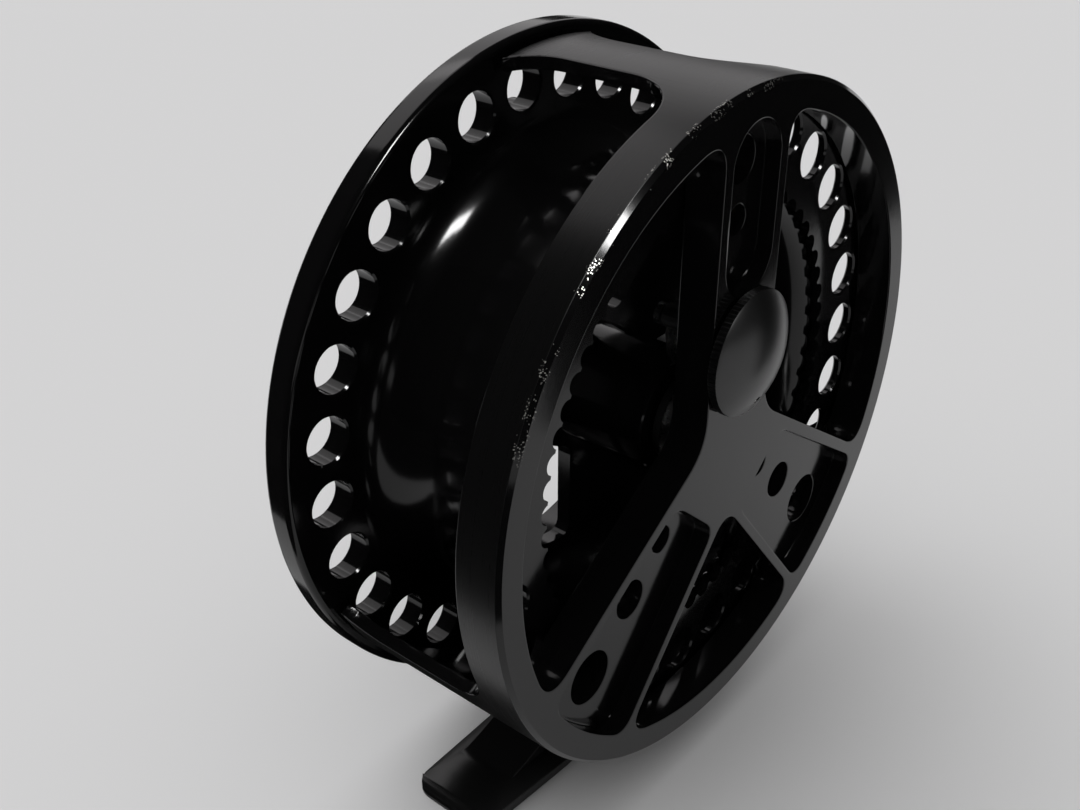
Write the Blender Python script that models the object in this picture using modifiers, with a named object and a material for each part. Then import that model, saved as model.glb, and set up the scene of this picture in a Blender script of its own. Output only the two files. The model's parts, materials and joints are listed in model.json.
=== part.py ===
"""Large-arbor fly reel: half-cage frame, perforated spool, check pawl with regulator, reel foot.

Metres, +Z up. The origin is the middle of the foot's underside, where the reel seats on a rod.
The axle runs along Y: the back face with the regulator knob looks to -Y, the handle side to +Y.
"""

import math

import bmesh
import bpy

MM = 0.001

# Fits
GAP = 0.3 * MM
RUN_GAP = 0.4 * MM

# Frame cage
RING_RADIUS = 45.0 * MM
RING_INNER_RADIUS = 41.0 * MM
PLATE_THICKNESS = 5.2 * MM
EDGE_CHAMFER = 0.7 * MM
CAGE_WALL = 1.8 * MM
CAGE_DEPTH = 30.8 * MM
BAND_DEPTH = 6.2 * MM
TOP_BRIDGE_WAIST = 10.6 * MM
BOTTOM_BRIDGE_ANGLE = math.radians(121.0)
WINDOW_BACK_FILLET = 8.0 * MM
WINDOW_FRONT_FILLET = 8.5 * MM
WINDOW_FRONT_RUNOUT = 1.6 * MM

# Arms of the back plate, seen from the back
TOP_ARM_WIDTH = 13.6 * MM
LOWER_ARM_HUB_WIDTH = 11.5 * MM
LOWER_ARM_HUB_DROP = 1.8 * MM
LOWER_ARM_UPPER_ANGLE = math.radians(124.0)
LOWER_ARM_LOWER_ANGLE = math.radians(140.6)
BOTTOM_WINDOW_APEX = 11.2 * MM
ARM_CORNER = 4.0 * MM
POCKET_DEPTH = 2.5 * MM
POCKET_UPPER_RIB = 1.8 * MM
POCKET_LOWER_RIB = 1.5 * MM
POCKET_INNER_RADIUS = 10.4 * MM
POCKET_CORNER = 2.6 * MM
SLOT_WIDTH = 10.0 * MM
SLOT_DEPTH = 2.2 * MM
SLOT_INNER_END = 19.6 * MM
SLOT_OUTER_END = 41.0 * MM
LOWER_ARM_HOLE_ANGLE = math.radians(133.0)
LOWER_ARM_HOLES = ((35.1 * MM, 7.2 * MM), (24.3 * MM, 5.2 * MM), (15.8 * MM, 3.6 * MM))
TOP_ARM_HOLES = ((35.9 * MM, 5.6 * MM), (28.6 * MM, 3.6 * MM))

# Axle and foot
FOOT_RISE = 7.0 * MM
AXLE_HEIGHT = RING_RADIUS + FOOT_RISE
FOOT_CENTRE_DEPTH = 19.6 * MM
FOOT_LENGTH = 69.0 * MM
FOOT_WIDTH = 14.4 * MM
FOOT_TIP_WIDTH = 13.0 * MM
FOOT_TIP_THICKNESS = 1.7 * MM
FOOT_TIP_ROUND = 3.0 * MM
FOOT_EDGE_THICKNESS = 0.8 * MM
FOOT_BEVEL_TOP = 2.6 * MM
FOOT_PEDESTAL_WIDTH = 8.8 * MM
FOOT_SHOULDER_THICKNESS = 3.4 * MM
FOOT_PEDESTAL_LENGTH = 27.0 * MM
FOOT_PEDESTAL_FOOTING = 35.0 * MM
FOOT_SCREW_SPACING = 17.0 * MM
FOOT_SCREW_RADIUS = 1.4 * MM
FOOT_SCREW_HEAD_RADIUS = 2.6 * MM
FOOT_SCREW_HEAD_DEPTH = 1.6 * MM
FOOT_SCREW_RECESS = 0.4 * MM

# Spool
HOLE_COUNT = 28
HOLE_RADIUS = 3.1 * MM
FRONT_HOLE_INSET = 6.6 * MM
FRONT_HOLE_PHASE = math.radians(7.8)
REAR_HOLE_INSET = 5.1 * MM
REAR_HOLE_PHASE = math.radians(13.3)
REAR_FLANGE_RADIUS = RING_RADIUS - CAGE_WALL - RUN_GAP
REAR_FLANGE_THICKNESS = 1.3 * MM
REAR_HOLE_CIRCLE = REAR_FLANGE_RADIUS - REAR_HOLE_INSET
RIM_RADIUS = 46.4 * MM
RIM_CLEARANCE = 0.7 * MM
FRONT_FLANGE_THICKNESS = 3.9 * MM
RIM_FRONT = CAGE_DEPTH + RIM_CLEARANCE + FRONT_FLANGE_THICKNESS
FRONT_HOLE_CIRCLE = RIM_RADIUS - FRONT_HOLE_INSET
RIM_STEP = 0.6 * MM
RIM_LAND = 2.7 * MM
RIM_ROUND = 0.8 * MM
FRONT_BEAD_LAND = 1.1 * MM
FRONT_BEAD_RADIUS = FRONT_HOLE_CIRCLE - HOLE_RADIUS - FRONT_BEAD_LAND
LINE_DEPTH = 17.6 * MM
ARBOR_RADIUS = RIM_RADIUS - LINE_DEPTH
ARBOR_WALL = 1.5 * MM
ARBOR_FLARE_LENGTH = 9.0 * MM
TRACK_INSET = 12.4 * MM
TRACK_RADIUS = REAR_FLANGE_RADIUS - TRACK_INSET
REAR_BEAD_RISE = 3.0 * MM
REAR_BEAD_RADIUS = TRACK_RADIUS + REAR_BEAD_RISE
SCALLOP_COUNT = 60
SCALLOP_RADIUS = 1.4 * MM
SCALLOP_BITE = 1.05 * MM
WEB_THICKNESS = 2.2 * MM
WEB_RECESS = 7.5 * MM
RECESS_FLARE = 1.0 * MM
RECESS_RADIUS = ARBOR_RADIUS + RECESS_FLARE
SPOKE_COUNT = 4
SPOKE_ANGLE = math.radians(40.0)
SPOKE_EDGE_OFFSET = 1.7 * MM
WEB_WINDOW_INNER_RADIUS = 10.4 * MM
WEB_EDGE = 1.7 * MM
WEB_WINDOW_OUTER_RADIUS = ARBOR_RADIUS - ARBOR_WALL - WEB_EDGE
WEB_WINDOW_CORNER = 2.0 * MM
HUB_RADIUS = 8.2 * MM
HUB_BORE_RADIUS = 4.8 * MM
HUB_FRONT_RISE = 1.2 * MM
HUB_BOSS_RADIUS = 9.2 * MM

# Spindle and bushes
SPINDLE_RADIUS = 3.0 * MM
SPINDLE_SPIGOT_RADIUS = 4.0 * MM
SPINDLE_SPIGOT_LENGTH = 3.2 * MM
SPINDLE_FLANGE_RADIUS = 6.8 * MM
SPINDLE_FLANGE_THICKNESS = 1.5 * MM
SPINDLE_GROOVE_RADIUS = 2.2 * MM
SPINDLE_TIP_LENGTH = 1.2 * MM
WASHER_RADIUS = 6.0 * MM
WASHER_THICKNESS = 1.2 * MM
BUSH_LENGTH = 6.5 * MM

# Spool cap and latch
LATCH_THICKNESS = 0.9 * MM
LATCH_TRAVEL = 2.6 * MM
LATCH_BODY_WIDTH = 8.0 * MM
LATCH_BODY_FRONT = 4.6 * MM
LATCH_BODY_BACK = 7.4 * MM
LATCH_TAB_WIDTH = 4.4 * MM
LATCH_TAB_REACH = 13.0 * MM
CAP_BORE_RADIUS = 9.8 * MM
CAP_WALL = 1.4 * MM
CAP_HEIGHT = 5.5 * MM
CAP_SCREW_RADIUS = 0.8 * MM
CAP_SCREW_HEAD_RADIUS = 1.5 * MM
CAP_SCREW_OFFSET = 6.4 * MM
LATCH_SPRING_RADIUS = 1.1 * MM
LATCH_SPRING_WIRE = 0.25 * MM
LATCH_SPRING_TURNS = 3
LATCH_LIP_THICKNESS = 0.8 * MM
LATCH_LIP_HEIGHT = 1.7 * MM
LATCH_LIP_WIDTH = 3.4 * MM

# Handle and counterweight
CRANK_LAND = 3.4 * MM
CRANK_RADIUS = RECESS_RADIUS + CRANK_LAND
HANDLE_ANGLE = math.radians(180.0)
STUD_RADIUS = 1.3 * MM
STUD_LENGTH = 1.6 * MM
POST_RADIUS = 1.7 * MM
POST_FLANGE_RADIUS = 3.2 * MM
POST_FLANGE_THICKNESS = 0.9 * MM
HANDLE_LENGTH = 19.0 * MM
HANDLE_NECK_RADIUS = 4.2 * MM
HANDLE_END_RADIUS = 6.2 * MM
HANDLE_SCREW_HEAD_RADIUS = 2.8 * MM
HANDLE_SCREW_HEAD_THICKNESS = 1.2 * MM
HANDLE_SCREW_RADIUS = 0.8 * MM
HANDLE_SCREW_LENGTH = 5.0 * MM
WEIGHT_RADIUS = 3.2 * MM
WEIGHT_THICKNESS = 2.4 * MM

# Regulator and check
REGULATOR_OFFSET = 12.3 * MM
KNOB_RADIUS = 8.2 * MM
KNOB_HEIGHT = 3.7 * MM
KNOB_DOME = 2.5 * MM
KNOB_KNURLS = 44
KNURL_DEPTH = 0.22 * MM
KNOB_RECESS_RADIUS = 6.8 * MM
KNOB_RECESS_DEPTH = 0.9 * MM
DIMPLE_RADIUS = 0.6 * MM
DIMPLE_DEPTH = 0.5 * MM
DIMPLE_OFFSET = 6.0 * MM
FRICTION_WASHER_RADIUS = 6.0 * MM
FRICTION_WASHER_THICKNESS = 0.5 * MM
REGULATOR_SHAFT_RADIUS = 2.0 * MM
REGULATOR_SHAFT_SEAT = 1.6 * MM
REGULATOR_BUSH_RADIUS = 3.1 * MM
REGULATOR_BUSH_FLANGE_RADIUS = 4.2 * MM
REGULATOR_BUSH_FLANGE_THICKNESS = 0.6 * MM
CAM_LEAST_RADIUS = 3.2 * MM
CAM_MOST_RADIUS = 4.3 * MM
CAM_THICKNESS = 2.0 * MM
CAM_SCREW_HEAD_RADIUS = 2.4 * MM
CAM_SCREW_HEAD_THICKNESS = 1.0 * MM
CAM_SCREW_RADIUS = 0.8 * MM
CAM_SCREW_LENGTH = 2.2 * MM
PAWL_REACH = 6.6 * MM
PAWL_PIVOT = TRACK_RADIUS - PAWL_REACH
PAWL_THICKNESS = 1.3 * MM
PAWL_HEEL_RADIUS = 2.6 * MM
PAWL_HEEL_FLAT = 2.2 * MM
PAWL_TIP_WIDTH = 0.7 * MM
PAWL_PIN_RADIUS = 1.2 * MM
PAWL_PIN_GRIP = 2.0 * MM
CLIP_RADIUS = 2.5 * MM
CLIP_THICKNESS = 0.5 * MM
CLIP_OPENING = 1.6 * MM
LEAF_THICKNESS = 0.5 * MM
LEAF_HEIGHT = 2.4 * MM
LEAF_EYE_X = 4.7 * MM
LEAF_EYE_RADIUS = 1.5 * MM
LEAF_FREE_END = 4.6 * MM
SPRING_SCREW_RADIUS = 0.65 * MM
SPRING_SCREW_HEAD_RADIUS = 1.4 * MM
SPRING_SCREW_HEAD_THICKNESS = 0.8 * MM
SPRING_SCREW_GRIP = 2.2 * MM

# Facets
FULL_STEPS = 56
MID_STEPS = 24
SMALL_STEPS = 16
HOLE_STEPS = 12
SCALLOP_STEPS = 8
CORNER_STEPS = 5
WINDOW_COLUMNS = 24
WINDOW_ROWS = 14
FLARE_STEPS = 3

# Depths along the axle, from the back face towards the handle side
REAR_FLANGE_BACK = PLATE_THICKNESS + RUN_GAP
REAR_FLANGE_FRONT = REAR_FLANGE_BACK + REAR_FLANGE_THICKNESS
FRONT_FLANGE_BACK = RIM_FRONT - FRONT_FLANGE_THICKNESS
FLANGE_FACE = RIM_FRONT - RIM_STEP
WEB_FRONT = FLANGE_FACE - WEB_RECESS
WEB_BACK = WEB_FRONT - WEB_THICKNESS
SPINDLE_SEAT = PLATE_THICKNESS + GAP
SPINDLE_FLANGE_FRONT = SPINDLE_SEAT + SPINDLE_FLANGE_THICKNESS
HUB_BACK = SPINDLE_FLANGE_FRONT + WASHER_THICKNESS + 2 * GAP
HUB_FRONT = WEB_FRONT + HUB_FRONT_RISE
LATCH_BACK = HUB_FRONT + GAP
LATCH_FRONT = LATCH_BACK + LATCH_THICKNESS
SPINDLE_END = LATCH_FRONT + GAP + SPINDLE_TIP_LENGTH
CAP_BACK = WEB_FRONT + GAP
CAP_FRONT = CAP_BACK + CAP_HEIGHT
CAP_CEILING = CAP_FRONT - CAP_WALL
MECHANISM_BACK = PLATE_THICKNESS + RUN_GAP
POCKET_FLOOR = POCKET_DEPTH
CAM_BACK = PLATE_THICKNESS + GAP + REGULATOR_BUSH_FLANGE_THICKNESS + GAP
CAM_FRONT = CAM_BACK + CAM_THICKNESS
LEAF_FRONT = MECHANISM_BACK + LEAF_HEIGHT
PAWL_FRONT = MECHANISM_BACK + PAWL_THICKNESS
KNOB_BASE = -GAP
KNOB_TOP = KNOB_BASE - KNOB_HEIGHT
KNOB_FLOOR = KNOB_BASE - KNOB_RECESS_DEPTH

REEL_NAME = "fly_reel"


# Scene, collections and materials


def clear_scene():
    for obj in list(bpy.data.objects):
        bpy.data.objects.remove(obj)


def new_collection(name):
    collection = bpy.data.collections.new(name)
    bpy.context.scene.collection.children.link(collection)
    return collection


def finish_material(name, colour, roughness, metallic):
    material = bpy.data.materials.new(name)
    material.use_nodes = True
    shader = material.node_tree.nodes["Principled BSDF"]
    shader.inputs["Base Color"].default_value = (*colour, 1.0)
    shader.inputs["Roughness"].default_value = roughness
    shader.inputs["Metallic"].default_value = metallic
    return material


clear_scene()
PARTS = new_collection(REEL_NAME)
CUTTERS = new_collection(REEL_NAME + "_cutters")

BLACK_ANODISE = finish_material("black_anodise", (0.012, 0.012, 0.013), 0.16, 0.3)
KNOB_ANODISE = finish_material("knob_anodise", (0.010, 0.010, 0.010), 0.28, 0.3)
FOOT_ANODISE = finish_material("foot_anodise", (0.014, 0.014, 0.014), 0.35, 0.3)
STEEL = finish_material("stainless_steel", (0.56, 0.56, 0.55), 0.28, 1.0)
SPRING_STEEL = finish_material("spring_steel", (0.35, 0.35, 0.36), 0.34, 1.0)
BRONZE = finish_material("bearing_bronze", (0.55, 0.36, 0.16), 0.38, 1.0)
HANDLE_RESIN = finish_material("handle_resin", (0.015, 0.014, 0.014), 0.4, 0.0)
WASHER_POLYMER = finish_material("washer_polymer", (0.68, 0.66, 0.60), 0.55, 0.0)


def new_empty(name, location, rotation, parent=None):
    empty = bpy.data.objects.new(name, None)
    empty.location = location
    empty.rotation_euler = rotation
    empty.parent = parent
    empty.empty_display_size = 5 * MM
    PARTS.objects.link(empty)
    return empty


def polar(radius, angle):
    """A point of the back view at this radius, with the angle clockwise from straight up."""
    return (radius * math.sin(angle), radius * math.cos(angle))


# Local frame of the axle: x to the right and y up as seen from the back, z towards the viewer
AXLE = new_empty("axle", (0, -FOOT_CENTRE_DEPTH, AXLE_HEIGHT), (math.pi / 2, 0, 0))
SPOOL_TURN = new_empty("spool_turn", (0, 0, 0), (0, 0, 0), AXLE)
HANDLE_AXIS = new_empty("handle_axis", (*polar(CRANK_RADIUS, HANDLE_ANGLE), 0), (0, 0, 0), SPOOL_TURN)
WEIGHT_AXIS = new_empty(
    "counterweight_axis", (*polar(CRANK_RADIUS, HANDLE_ANGLE + math.pi), 0), (0, 0, 0), SPOOL_TURN
)
REGULATOR_AXIS = new_empty("regulator_axis", (0, REGULATOR_OFFSET, 0), (0, 0, 0), AXLE)
PAWL_AXIS = new_empty("pawl_axis", (0, PAWL_PIVOT, 0), (0, 0, 0), AXLE)


# Modelling tools


def link(obj, parent, material=None):
    """Puts an object among the parts or, without a material, among the cutters."""
    obj.parent = parent
    if material is None:
        CUTTERS.objects.link(obj)
        obj.hide_render = True
        obj.display_type = "WIRE"
    else:
        PARTS.objects.link(obj)
        obj.data.materials.append(material)
        obj.data.shade_smooth()
        obj.data.set_sharp_from_angle(angle=math.radians(30))
    return obj


def signed_area(points):
    pairs = zip(points, points[1:] + points[:1])
    return sum(a[0] * b[1] - b[0] * a[1] for a, b in pairs) / 2


def turned(name, profile, parent, material=None, steps=MID_STEPS):
    """A solid of revolution about the local z axis, from (radius, depth) points."""
    points = [(radius, -depth) for radius, depth in profile]
    if signed_area(points) > 0:
        points.reverse()
    on_axis = sum(radius == 0 for radius, _ in points) == 2
    count = len(points)
    if on_axis:
        first = next(i for i in range(count) if points[i][0] == 0 and points[i - 1][0] == 0)
        points = points[first:] + points[:first]
    edges = [(i, i + 1) for i in range(count - 1)]
    if not on_axis:
        edges.append((count - 1, 0))
    mesh = bpy.data.meshes.new(name)
    mesh.from_pydata([(radius, 0, z) for radius, z in points], edges, [])
    obj = bpy.data.objects.new(name, mesh)
    link(obj, parent, material)
    screw = obj.modifiers.new("turn", "SCREW")
    screw.axis = "Z"
    screw.steps = steps
    screw.render_steps = steps
    screw.use_merge_vertices = True
    screw.merge_threshold = 1e-6
    return obj


def flat(name, outlines, back, front, parent, material=None):
    """A flat outline, with any inner outlines as holes, filled between two depths."""
    curve = bpy.data.curves.new(name + "_outline", "CURVE")
    curve.dimensions = "2D"
    curve.fill_mode = "BOTH"
    curve.extrude = (front - back) / 2
    for outline in outlines:
        spline = curve.splines.new("POLY")
        spline.points.add(len(outline) - 1)
        for point, (x, y) in zip(spline.points, outline):
            point.co = (x, y, 0, 1)
        spline.use_cyclic_u = True
    guide = bpy.data.objects.new(name + "_guide", curve)
    CUTTERS.objects.link(guide)
    graph = bpy.context.evaluated_depsgraph_get()
    mesh = bpy.data.meshes.new_from_object(guide.evaluated_get(graph))
    bpy.data.objects.remove(guide)
    shape = bmesh.new()
    shape.from_mesh(mesh)
    bmesh.ops.remove_doubles(shape, verts=shape.verts, dist=1e-7)
    bmesh.ops.translate(shape, verts=shape.verts, vec=(0, 0, -(back + front) / 2))
    bmesh.ops.recalc_face_normals(shape, faces=shape.faces)
    shape.to_mesh(mesh)
    shape.free()
    mesh.name = name
    return link(bpy.data.objects.new(name, mesh), parent, material)


def drills(name, places, back, front, parent, steps=SMALL_STEPS):
    """One cutter of round bores, from (x, y, radius) places between two depths."""
    shape = bmesh.new()
    for x, y, radius in places:
        made = bmesh.ops.create_cone(
            shape, cap_ends=True, segments=steps, radius1=radius, radius2=radius, depth=front - back
        )
        bmesh.ops.translate(shape, verts=made["verts"], vec=(x, y, -(back + front) / 2))
    mesh = bpy.data.meshes.new(name)
    shape.to_mesh(mesh)
    shape.free()
    return link(bpy.data.objects.new(name, mesh), parent)


def boolean(obj, other, operation="DIFFERENCE"):
    modifier = obj.modifiers.new(operation.lower() + "_" + other.name, "BOOLEAN")
    modifier.operation = operation
    modifier.solver = "EXACT"
    modifier.object = other
    return obj


# Outlines


def circle(x, y, radius, steps):
    turns = [2 * math.pi * i / steps for i in range(steps)]
    return [(x + radius * math.cos(turn), y + radius * math.sin(turn)) for turn in turns]


def arc(radius, start, end, steps):
    """Points round the axle from one angle to another, both clockwise from straight up."""
    return [polar(radius, start + (end - start) * i / steps) for i in range(steps + 1)]


def along(point, direction, distance):
    return (point[0] + direction[0] * distance, point[1] + direction[1] * distance)


def meet(point_a, direction_a, point_b, direction_b):
    """Where two lines cross."""
    cross = direction_a[0] * direction_b[1] - direction_a[1] * direction_b[0]
    dx = point_b[0] - point_a[0]
    dy = point_b[1] - point_a[1]
    return along(point_a, direction_a, (dx * direction_b[1] - dy * direction_b[0]) / cross)


def ring_hit(point, direction, radius):
    """Where a ray from inside a circle round the axle leaves it."""
    forward = point[0] * direction[0] + point[1] * direction[1]
    inside = radius**2 - point[0] ** 2 - point[1] ** 2
    return along(point, direction, -forward + math.sqrt(forward**2 + inside))


def soft_corner(before, corner, after):
    """A rounded corner between two points on its sides."""
    points = []
    for i in range(CORNER_STEPS + 1):
        t = i / CORNER_STEPS
        near, far = (1 - t) ** 2, t**2
        middle = 2 * t * (1 - t)
        points.append(
            (
                near * before[0] + middle * corner[0] + far * after[0],
                near * before[1] + middle * corner[1] + far * after[1],
            )
        )
    return points


def toward(start, end, distance):
    length = math.hypot(end[0] - start[0], end[1] - start[1])
    direction = ((end[0] - start[0]) / length, (end[1] - start[1]) / length)
    return along(start, direction, distance)


def clock(point):
    return math.atan2(point[0], point[1])


def ring_corner(inside, corner, radius, turn, reach):
    """A rounded corner from a straight side onto a circle round the axle."""
    return soft_corner(
        toward(corner, inside, reach), corner, polar(radius, clock(corner) + turn * reach / radius)
    )


def mirrored(outline):
    return [(-x, y) for x, y in reversed(outline)]


def arm_window(apex, hit_start, hit_end, reach, turns):
    """An opening between two arms: two straight sides from an inner corner, and the ring between them."""
    start, end = clock(hit_start), clock(hit_end)
    if end < start:
        end += 2 * math.pi
    shift = reach / RING_INNER_RADIUS
    first = ring_corner(apex, hit_start, RING_INNER_RADIUS, 1, reach)
    last = ring_corner(apex, hit_end, RING_INNER_RADIUS, -1, reach)
    inner = soft_corner(toward(apex, hit_end, reach), apex, toward(apex, hit_start, reach))
    return first + arc(RING_INNER_RADIUS, start + shift, end - shift, turns)[1:-1] + last[::-1] + inner


UPPER_EDGE_POINT = (LOWER_ARM_HUB_WIDTH, -LOWER_ARM_HUB_DROP)
UPPER_EDGE = polar(1, LOWER_ARM_UPPER_ANGLE)
LOWER_EDGE_POINT = (0, -BOTTOM_WINDOW_APEX)
LOWER_EDGE = polar(1, LOWER_ARM_LOWER_ANGLE)


def side_opening():
    edge = TOP_ARM_WIDTH / 2
    apex = meet((edge, 0), (0, 1), UPPER_EDGE_POINT, UPPER_EDGE)
    top = ring_hit(apex, (0, 1), RING_INNER_RADIUS)
    low = ring_hit(apex, UPPER_EDGE, RING_INNER_RADIUS)
    return arm_window(apex, top, low, ARM_CORNER, FULL_STEPS // 4)


def bottom_opening():
    right = ring_hit(LOWER_EDGE_POINT, LOWER_EDGE, RING_INNER_RADIUS)
    left = (-right[0], right[1])
    return arm_window(LOWER_EDGE_POINT, right, left, ARM_CORNER, FULL_STEPS // 6)


def arm_pocket():
    """The recess in a lower arm: a rib inside each edge, out to the ring's inner edge."""
    upper_side = (UPPER_EDGE[1], -UPPER_EDGE[0])
    lower_side = (-LOWER_EDGE[1], LOWER_EDGE[0])
    upper = along(UPPER_EDGE_POINT, upper_side, POCKET_UPPER_RIB)
    lower = along(LOWER_EDGE_POINT, lower_side, POCKET_LOWER_RIB)
    corners = [
        ring_hit(lower, LOWER_EDGE, RING_INNER_RADIUS),
        ring_hit(lower, LOWER_EDGE, POCKET_INNER_RADIUS + POCKET_CORNER),
        ring_hit(upper, UPPER_EDGE, POCKET_INNER_RADIUS + POCKET_CORNER),
        ring_hit(upper, UPPER_EDGE, RING_INNER_RADIUS),
    ]
    inner = []
    for before, corner, after in (corners[:3], corners[1:]):
        reach_in = toward(corner, before, POCKET_CORNER)
        reach_out = toward(corner, after, POCKET_CORNER)
        inner += soft_corner(reach_in, corner, reach_out)
    shift = POCKET_CORNER / RING_INNER_RADIUS
    first = ring_corner(corners[2], corners[3], RING_INNER_RADIUS, 1, POCKET_CORNER)
    last = ring_corner(corners[1], corners[0], RING_INNER_RADIUS, -1, POCKET_CORNER)
    span = arc(RING_INNER_RADIUS, clock(corners[3]) + shift, clock(corners[0]) - shift, CORNER_STEPS)
    return inner + first + span[1:-1] + last[::-1]


def slot_outline(inner_end, outer_end, width):
    radius = width / 2
    half = SMALL_STEPS // 2
    turns = [math.pi * i / half for i in range(half + 1)]
    top = [(radius * math.cos(turn), outer_end - radius + radius * math.sin(turn)) for turn in turns]
    bottom = [(-radius * math.cos(turn), inner_end + radius - radius * math.sin(turn)) for turn in turns]
    return top + bottom


# Frame cage


def fillet(distance, radius):
    """How far a quarter-round corner stands in, at this distance from the edge it runs into."""
    if distance >= radius:
        return 0.0
    return radius - math.sqrt(max(radius**2 - (radius - distance) ** 2, 0.0))


def cage_window(name, side):
    """Cutter for one side window of the cage: a rounded opening wrapped round the wall."""
    shape = bmesh.new()
    bmesh.ops.create_grid(shape, x_segments=WINDOW_COLUMNS, y_segments=WINDOW_ROWS, size=0.5)
    radius = RING_RADIUS - CAGE_WALL / 2
    front_edge = CAGE_DEPTH + WINDOW_FRONT_RUNOUT
    start = TOP_BRIDGE_WAIST / 2 / RING_RADIUS
    end = math.pi - BOTTOM_BRIDGE_ANGLE / 2
    for vert in shape.verts:
        row = (1 - math.cos(math.pi * (vert.co.y + 0.5))) / 2
        depth = BAND_DEPTH + row * (front_edge - BAND_DEPTH)
        inset = fillet(depth - BAND_DEPTH, WINDOW_BACK_FILLET)
        inset += fillet(front_edge - depth, WINDOW_FRONT_FILLET)
        first, last = start + inset / RING_RADIUS, end - inset / RING_RADIUS
        x, y = polar(radius, first + (last - first) * (vert.co.x + 0.5))
        vert.co = (side * x, y, -depth)
    mesh = bpy.data.meshes.new(name)
    shape.to_mesh(mesh)
    shape.free()
    obj = link(bpy.data.objects.new(name, mesh), AXLE)
    wall = obj.modifiers.new("wall", "SOLIDIFY")
    wall.thickness = 4 * CAGE_WALL
    wall.offset = 0
    return obj


def foot_screw_places():
    return [-FOOT_SCREW_SPACING / 2, FOOT_SCREW_SPACING / 2]


def foot_screw_bores(name, back, front, radius):
    """Upright bores for the foot screws, between two heights."""
    shape = bmesh.new()
    for x in foot_screw_places():
        made = bmesh.ops.create_cone(
            shape, cap_ends=True, segments=SMALL_STEPS, radius1=radius, radius2=radius, depth=front - back
        )
        bmesh.ops.translate(shape, verts=made["verts"], vec=(x, 0, (back + front) / 2))
    mesh = bpy.data.meshes.new(name)
    shape.to_mesh(mesh)
    shape.free()
    return link(bpy.data.objects.new(name, mesh), None)


def frame_cage():
    inner_wall = RING_RADIUS - CAGE_WALL
    profile = [
        (0, 0),
        (RING_RADIUS - EDGE_CHAMFER, 0),
        (RING_RADIUS, EDGE_CHAMFER),
        (RING_RADIUS, CAGE_DEPTH),
        (inner_wall, CAGE_DEPTH),
        (inner_wall, PLATE_THICKNESS),
        (0, PLATE_THICKNESS),
    ]
    cage = turned("frame_cage", profile, AXLE, BLACK_ANODISE, FULL_STEPS)
    through = (-2 * PLATE_THICKNESS, 2 * PLATE_THICKNESS)
    right = side_opening()
    pocket = arm_pocket()
    slot = slot_outline(SLOT_INNER_END, SLOT_OUTER_END, SLOT_WIDTH)
    cutters = [
        flat("right_opening", [right], *through, AXLE),
        flat("left_opening", [mirrored(right)], *through, AXLE),
        flat("bottom_opening_cut", [bottom_opening()], *through, AXLE),
        flat("right_pocket", [pocket], -PLATE_THICKNESS, POCKET_FLOOR, AXLE),
        flat("left_pocket", [mirrored(pocket)], -PLATE_THICKNESS, POCKET_FLOOR, AXLE),
        flat("top_slot", [slot], -PLATE_THICKNESS, SLOT_DEPTH, AXLE),
        cage_window("right_cage_window", 1),
        cage_window("left_cage_window", -1),
    ]
    arm_bores = [(0, height, size / 2) for height, size in TOP_ARM_HOLES]
    for side in (-1, 1):
        arm_bores += [
            (*polar(radius, side * LOWER_ARM_HOLE_ANGLE), size / 2) for radius, size in LOWER_ARM_HOLES
        ]
    arm_bores.append((0, REGULATOR_OFFSET, REGULATOR_BUSH_RADIUS + GAP))
    cutters.append(drills("arm_bores", arm_bores, *through, AXLE))
    pin_bore = [(0, PAWL_PIVOT, PAWL_PIN_RADIUS + GAP)]
    pin_floor = PLATE_THICKNESS - PAWL_PIN_GRIP - GAP
    cutters.append(drills("pawl_pin_bore", pin_bore, pin_floor, through[1], AXLE))
    spigot_bore = [(0, 0, SPINDLE_SPIGOT_RADIUS + GAP)]
    spigot_floor = SPINDLE_SEAT - SPINDLE_SPIGOT_LENGTH - GAP
    cutters.append(drills("spigot_bore", spigot_bore, spigot_floor, through[1], AXLE, MID_STEPS))
    screw_bore = [(-LEAF_EYE_X, LEAF_EYE_HEIGHT, SPRING_SCREW_RADIUS + GAP)]
    screw_floor = PLATE_THICKNESS - SPRING_SCREW_GRIP - GAP
    cutters.append(drills("spring_screw_bore", screw_bore, screw_floor, through[1], AXLE))
    bridge_top = AXLE_HEIGHT - RING_RADIUS + 3 * CAGE_WALL
    cutters.append(foot_screw_bores("bridge_screw_bores", 0, bridge_top, FOOT_SCREW_RADIUS + GAP))
    for cutter in cutters:
        boolean(cage, cutter)


# Reel foot


def foot_side_outline():
    """Side view of the foot: flat underside, thin tips, shoulders and a pedestal saddled to the ring."""
    tip = FOOT_LENGTH / 2
    saddle = RING_RADIUS + GAP
    edge = FOOT_PEDESTAL_LENGTH / 2
    reach = math.asin(edge / saddle)
    steps = FULL_STEPS // 6
    seat = []
    for i in range(steps + 1):
        x, y = polar(saddle, math.pi - reach + 2 * reach * i / steps)
        seat.append((x, AXLE_HEIGHT + y))
    footing = FOOT_PEDESTAL_FOOTING / 2
    shoulder = (footing, FOOT_SHOULDER_THICKNESS)
    right_rise = soft_corner((tip - FOOT_TIP_THICKNESS, FOOT_TIP_THICKNESS), shoulder, seat[0])
    nose = soft_corner((tip, 0), (tip, FOOT_TIP_THICKNESS), (tip - FOOT_TIP_THICKNESS, FOOT_TIP_THICKNESS))
    right = nose + right_rise[1:-1]
    return right + seat + mirrored(right)


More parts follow.
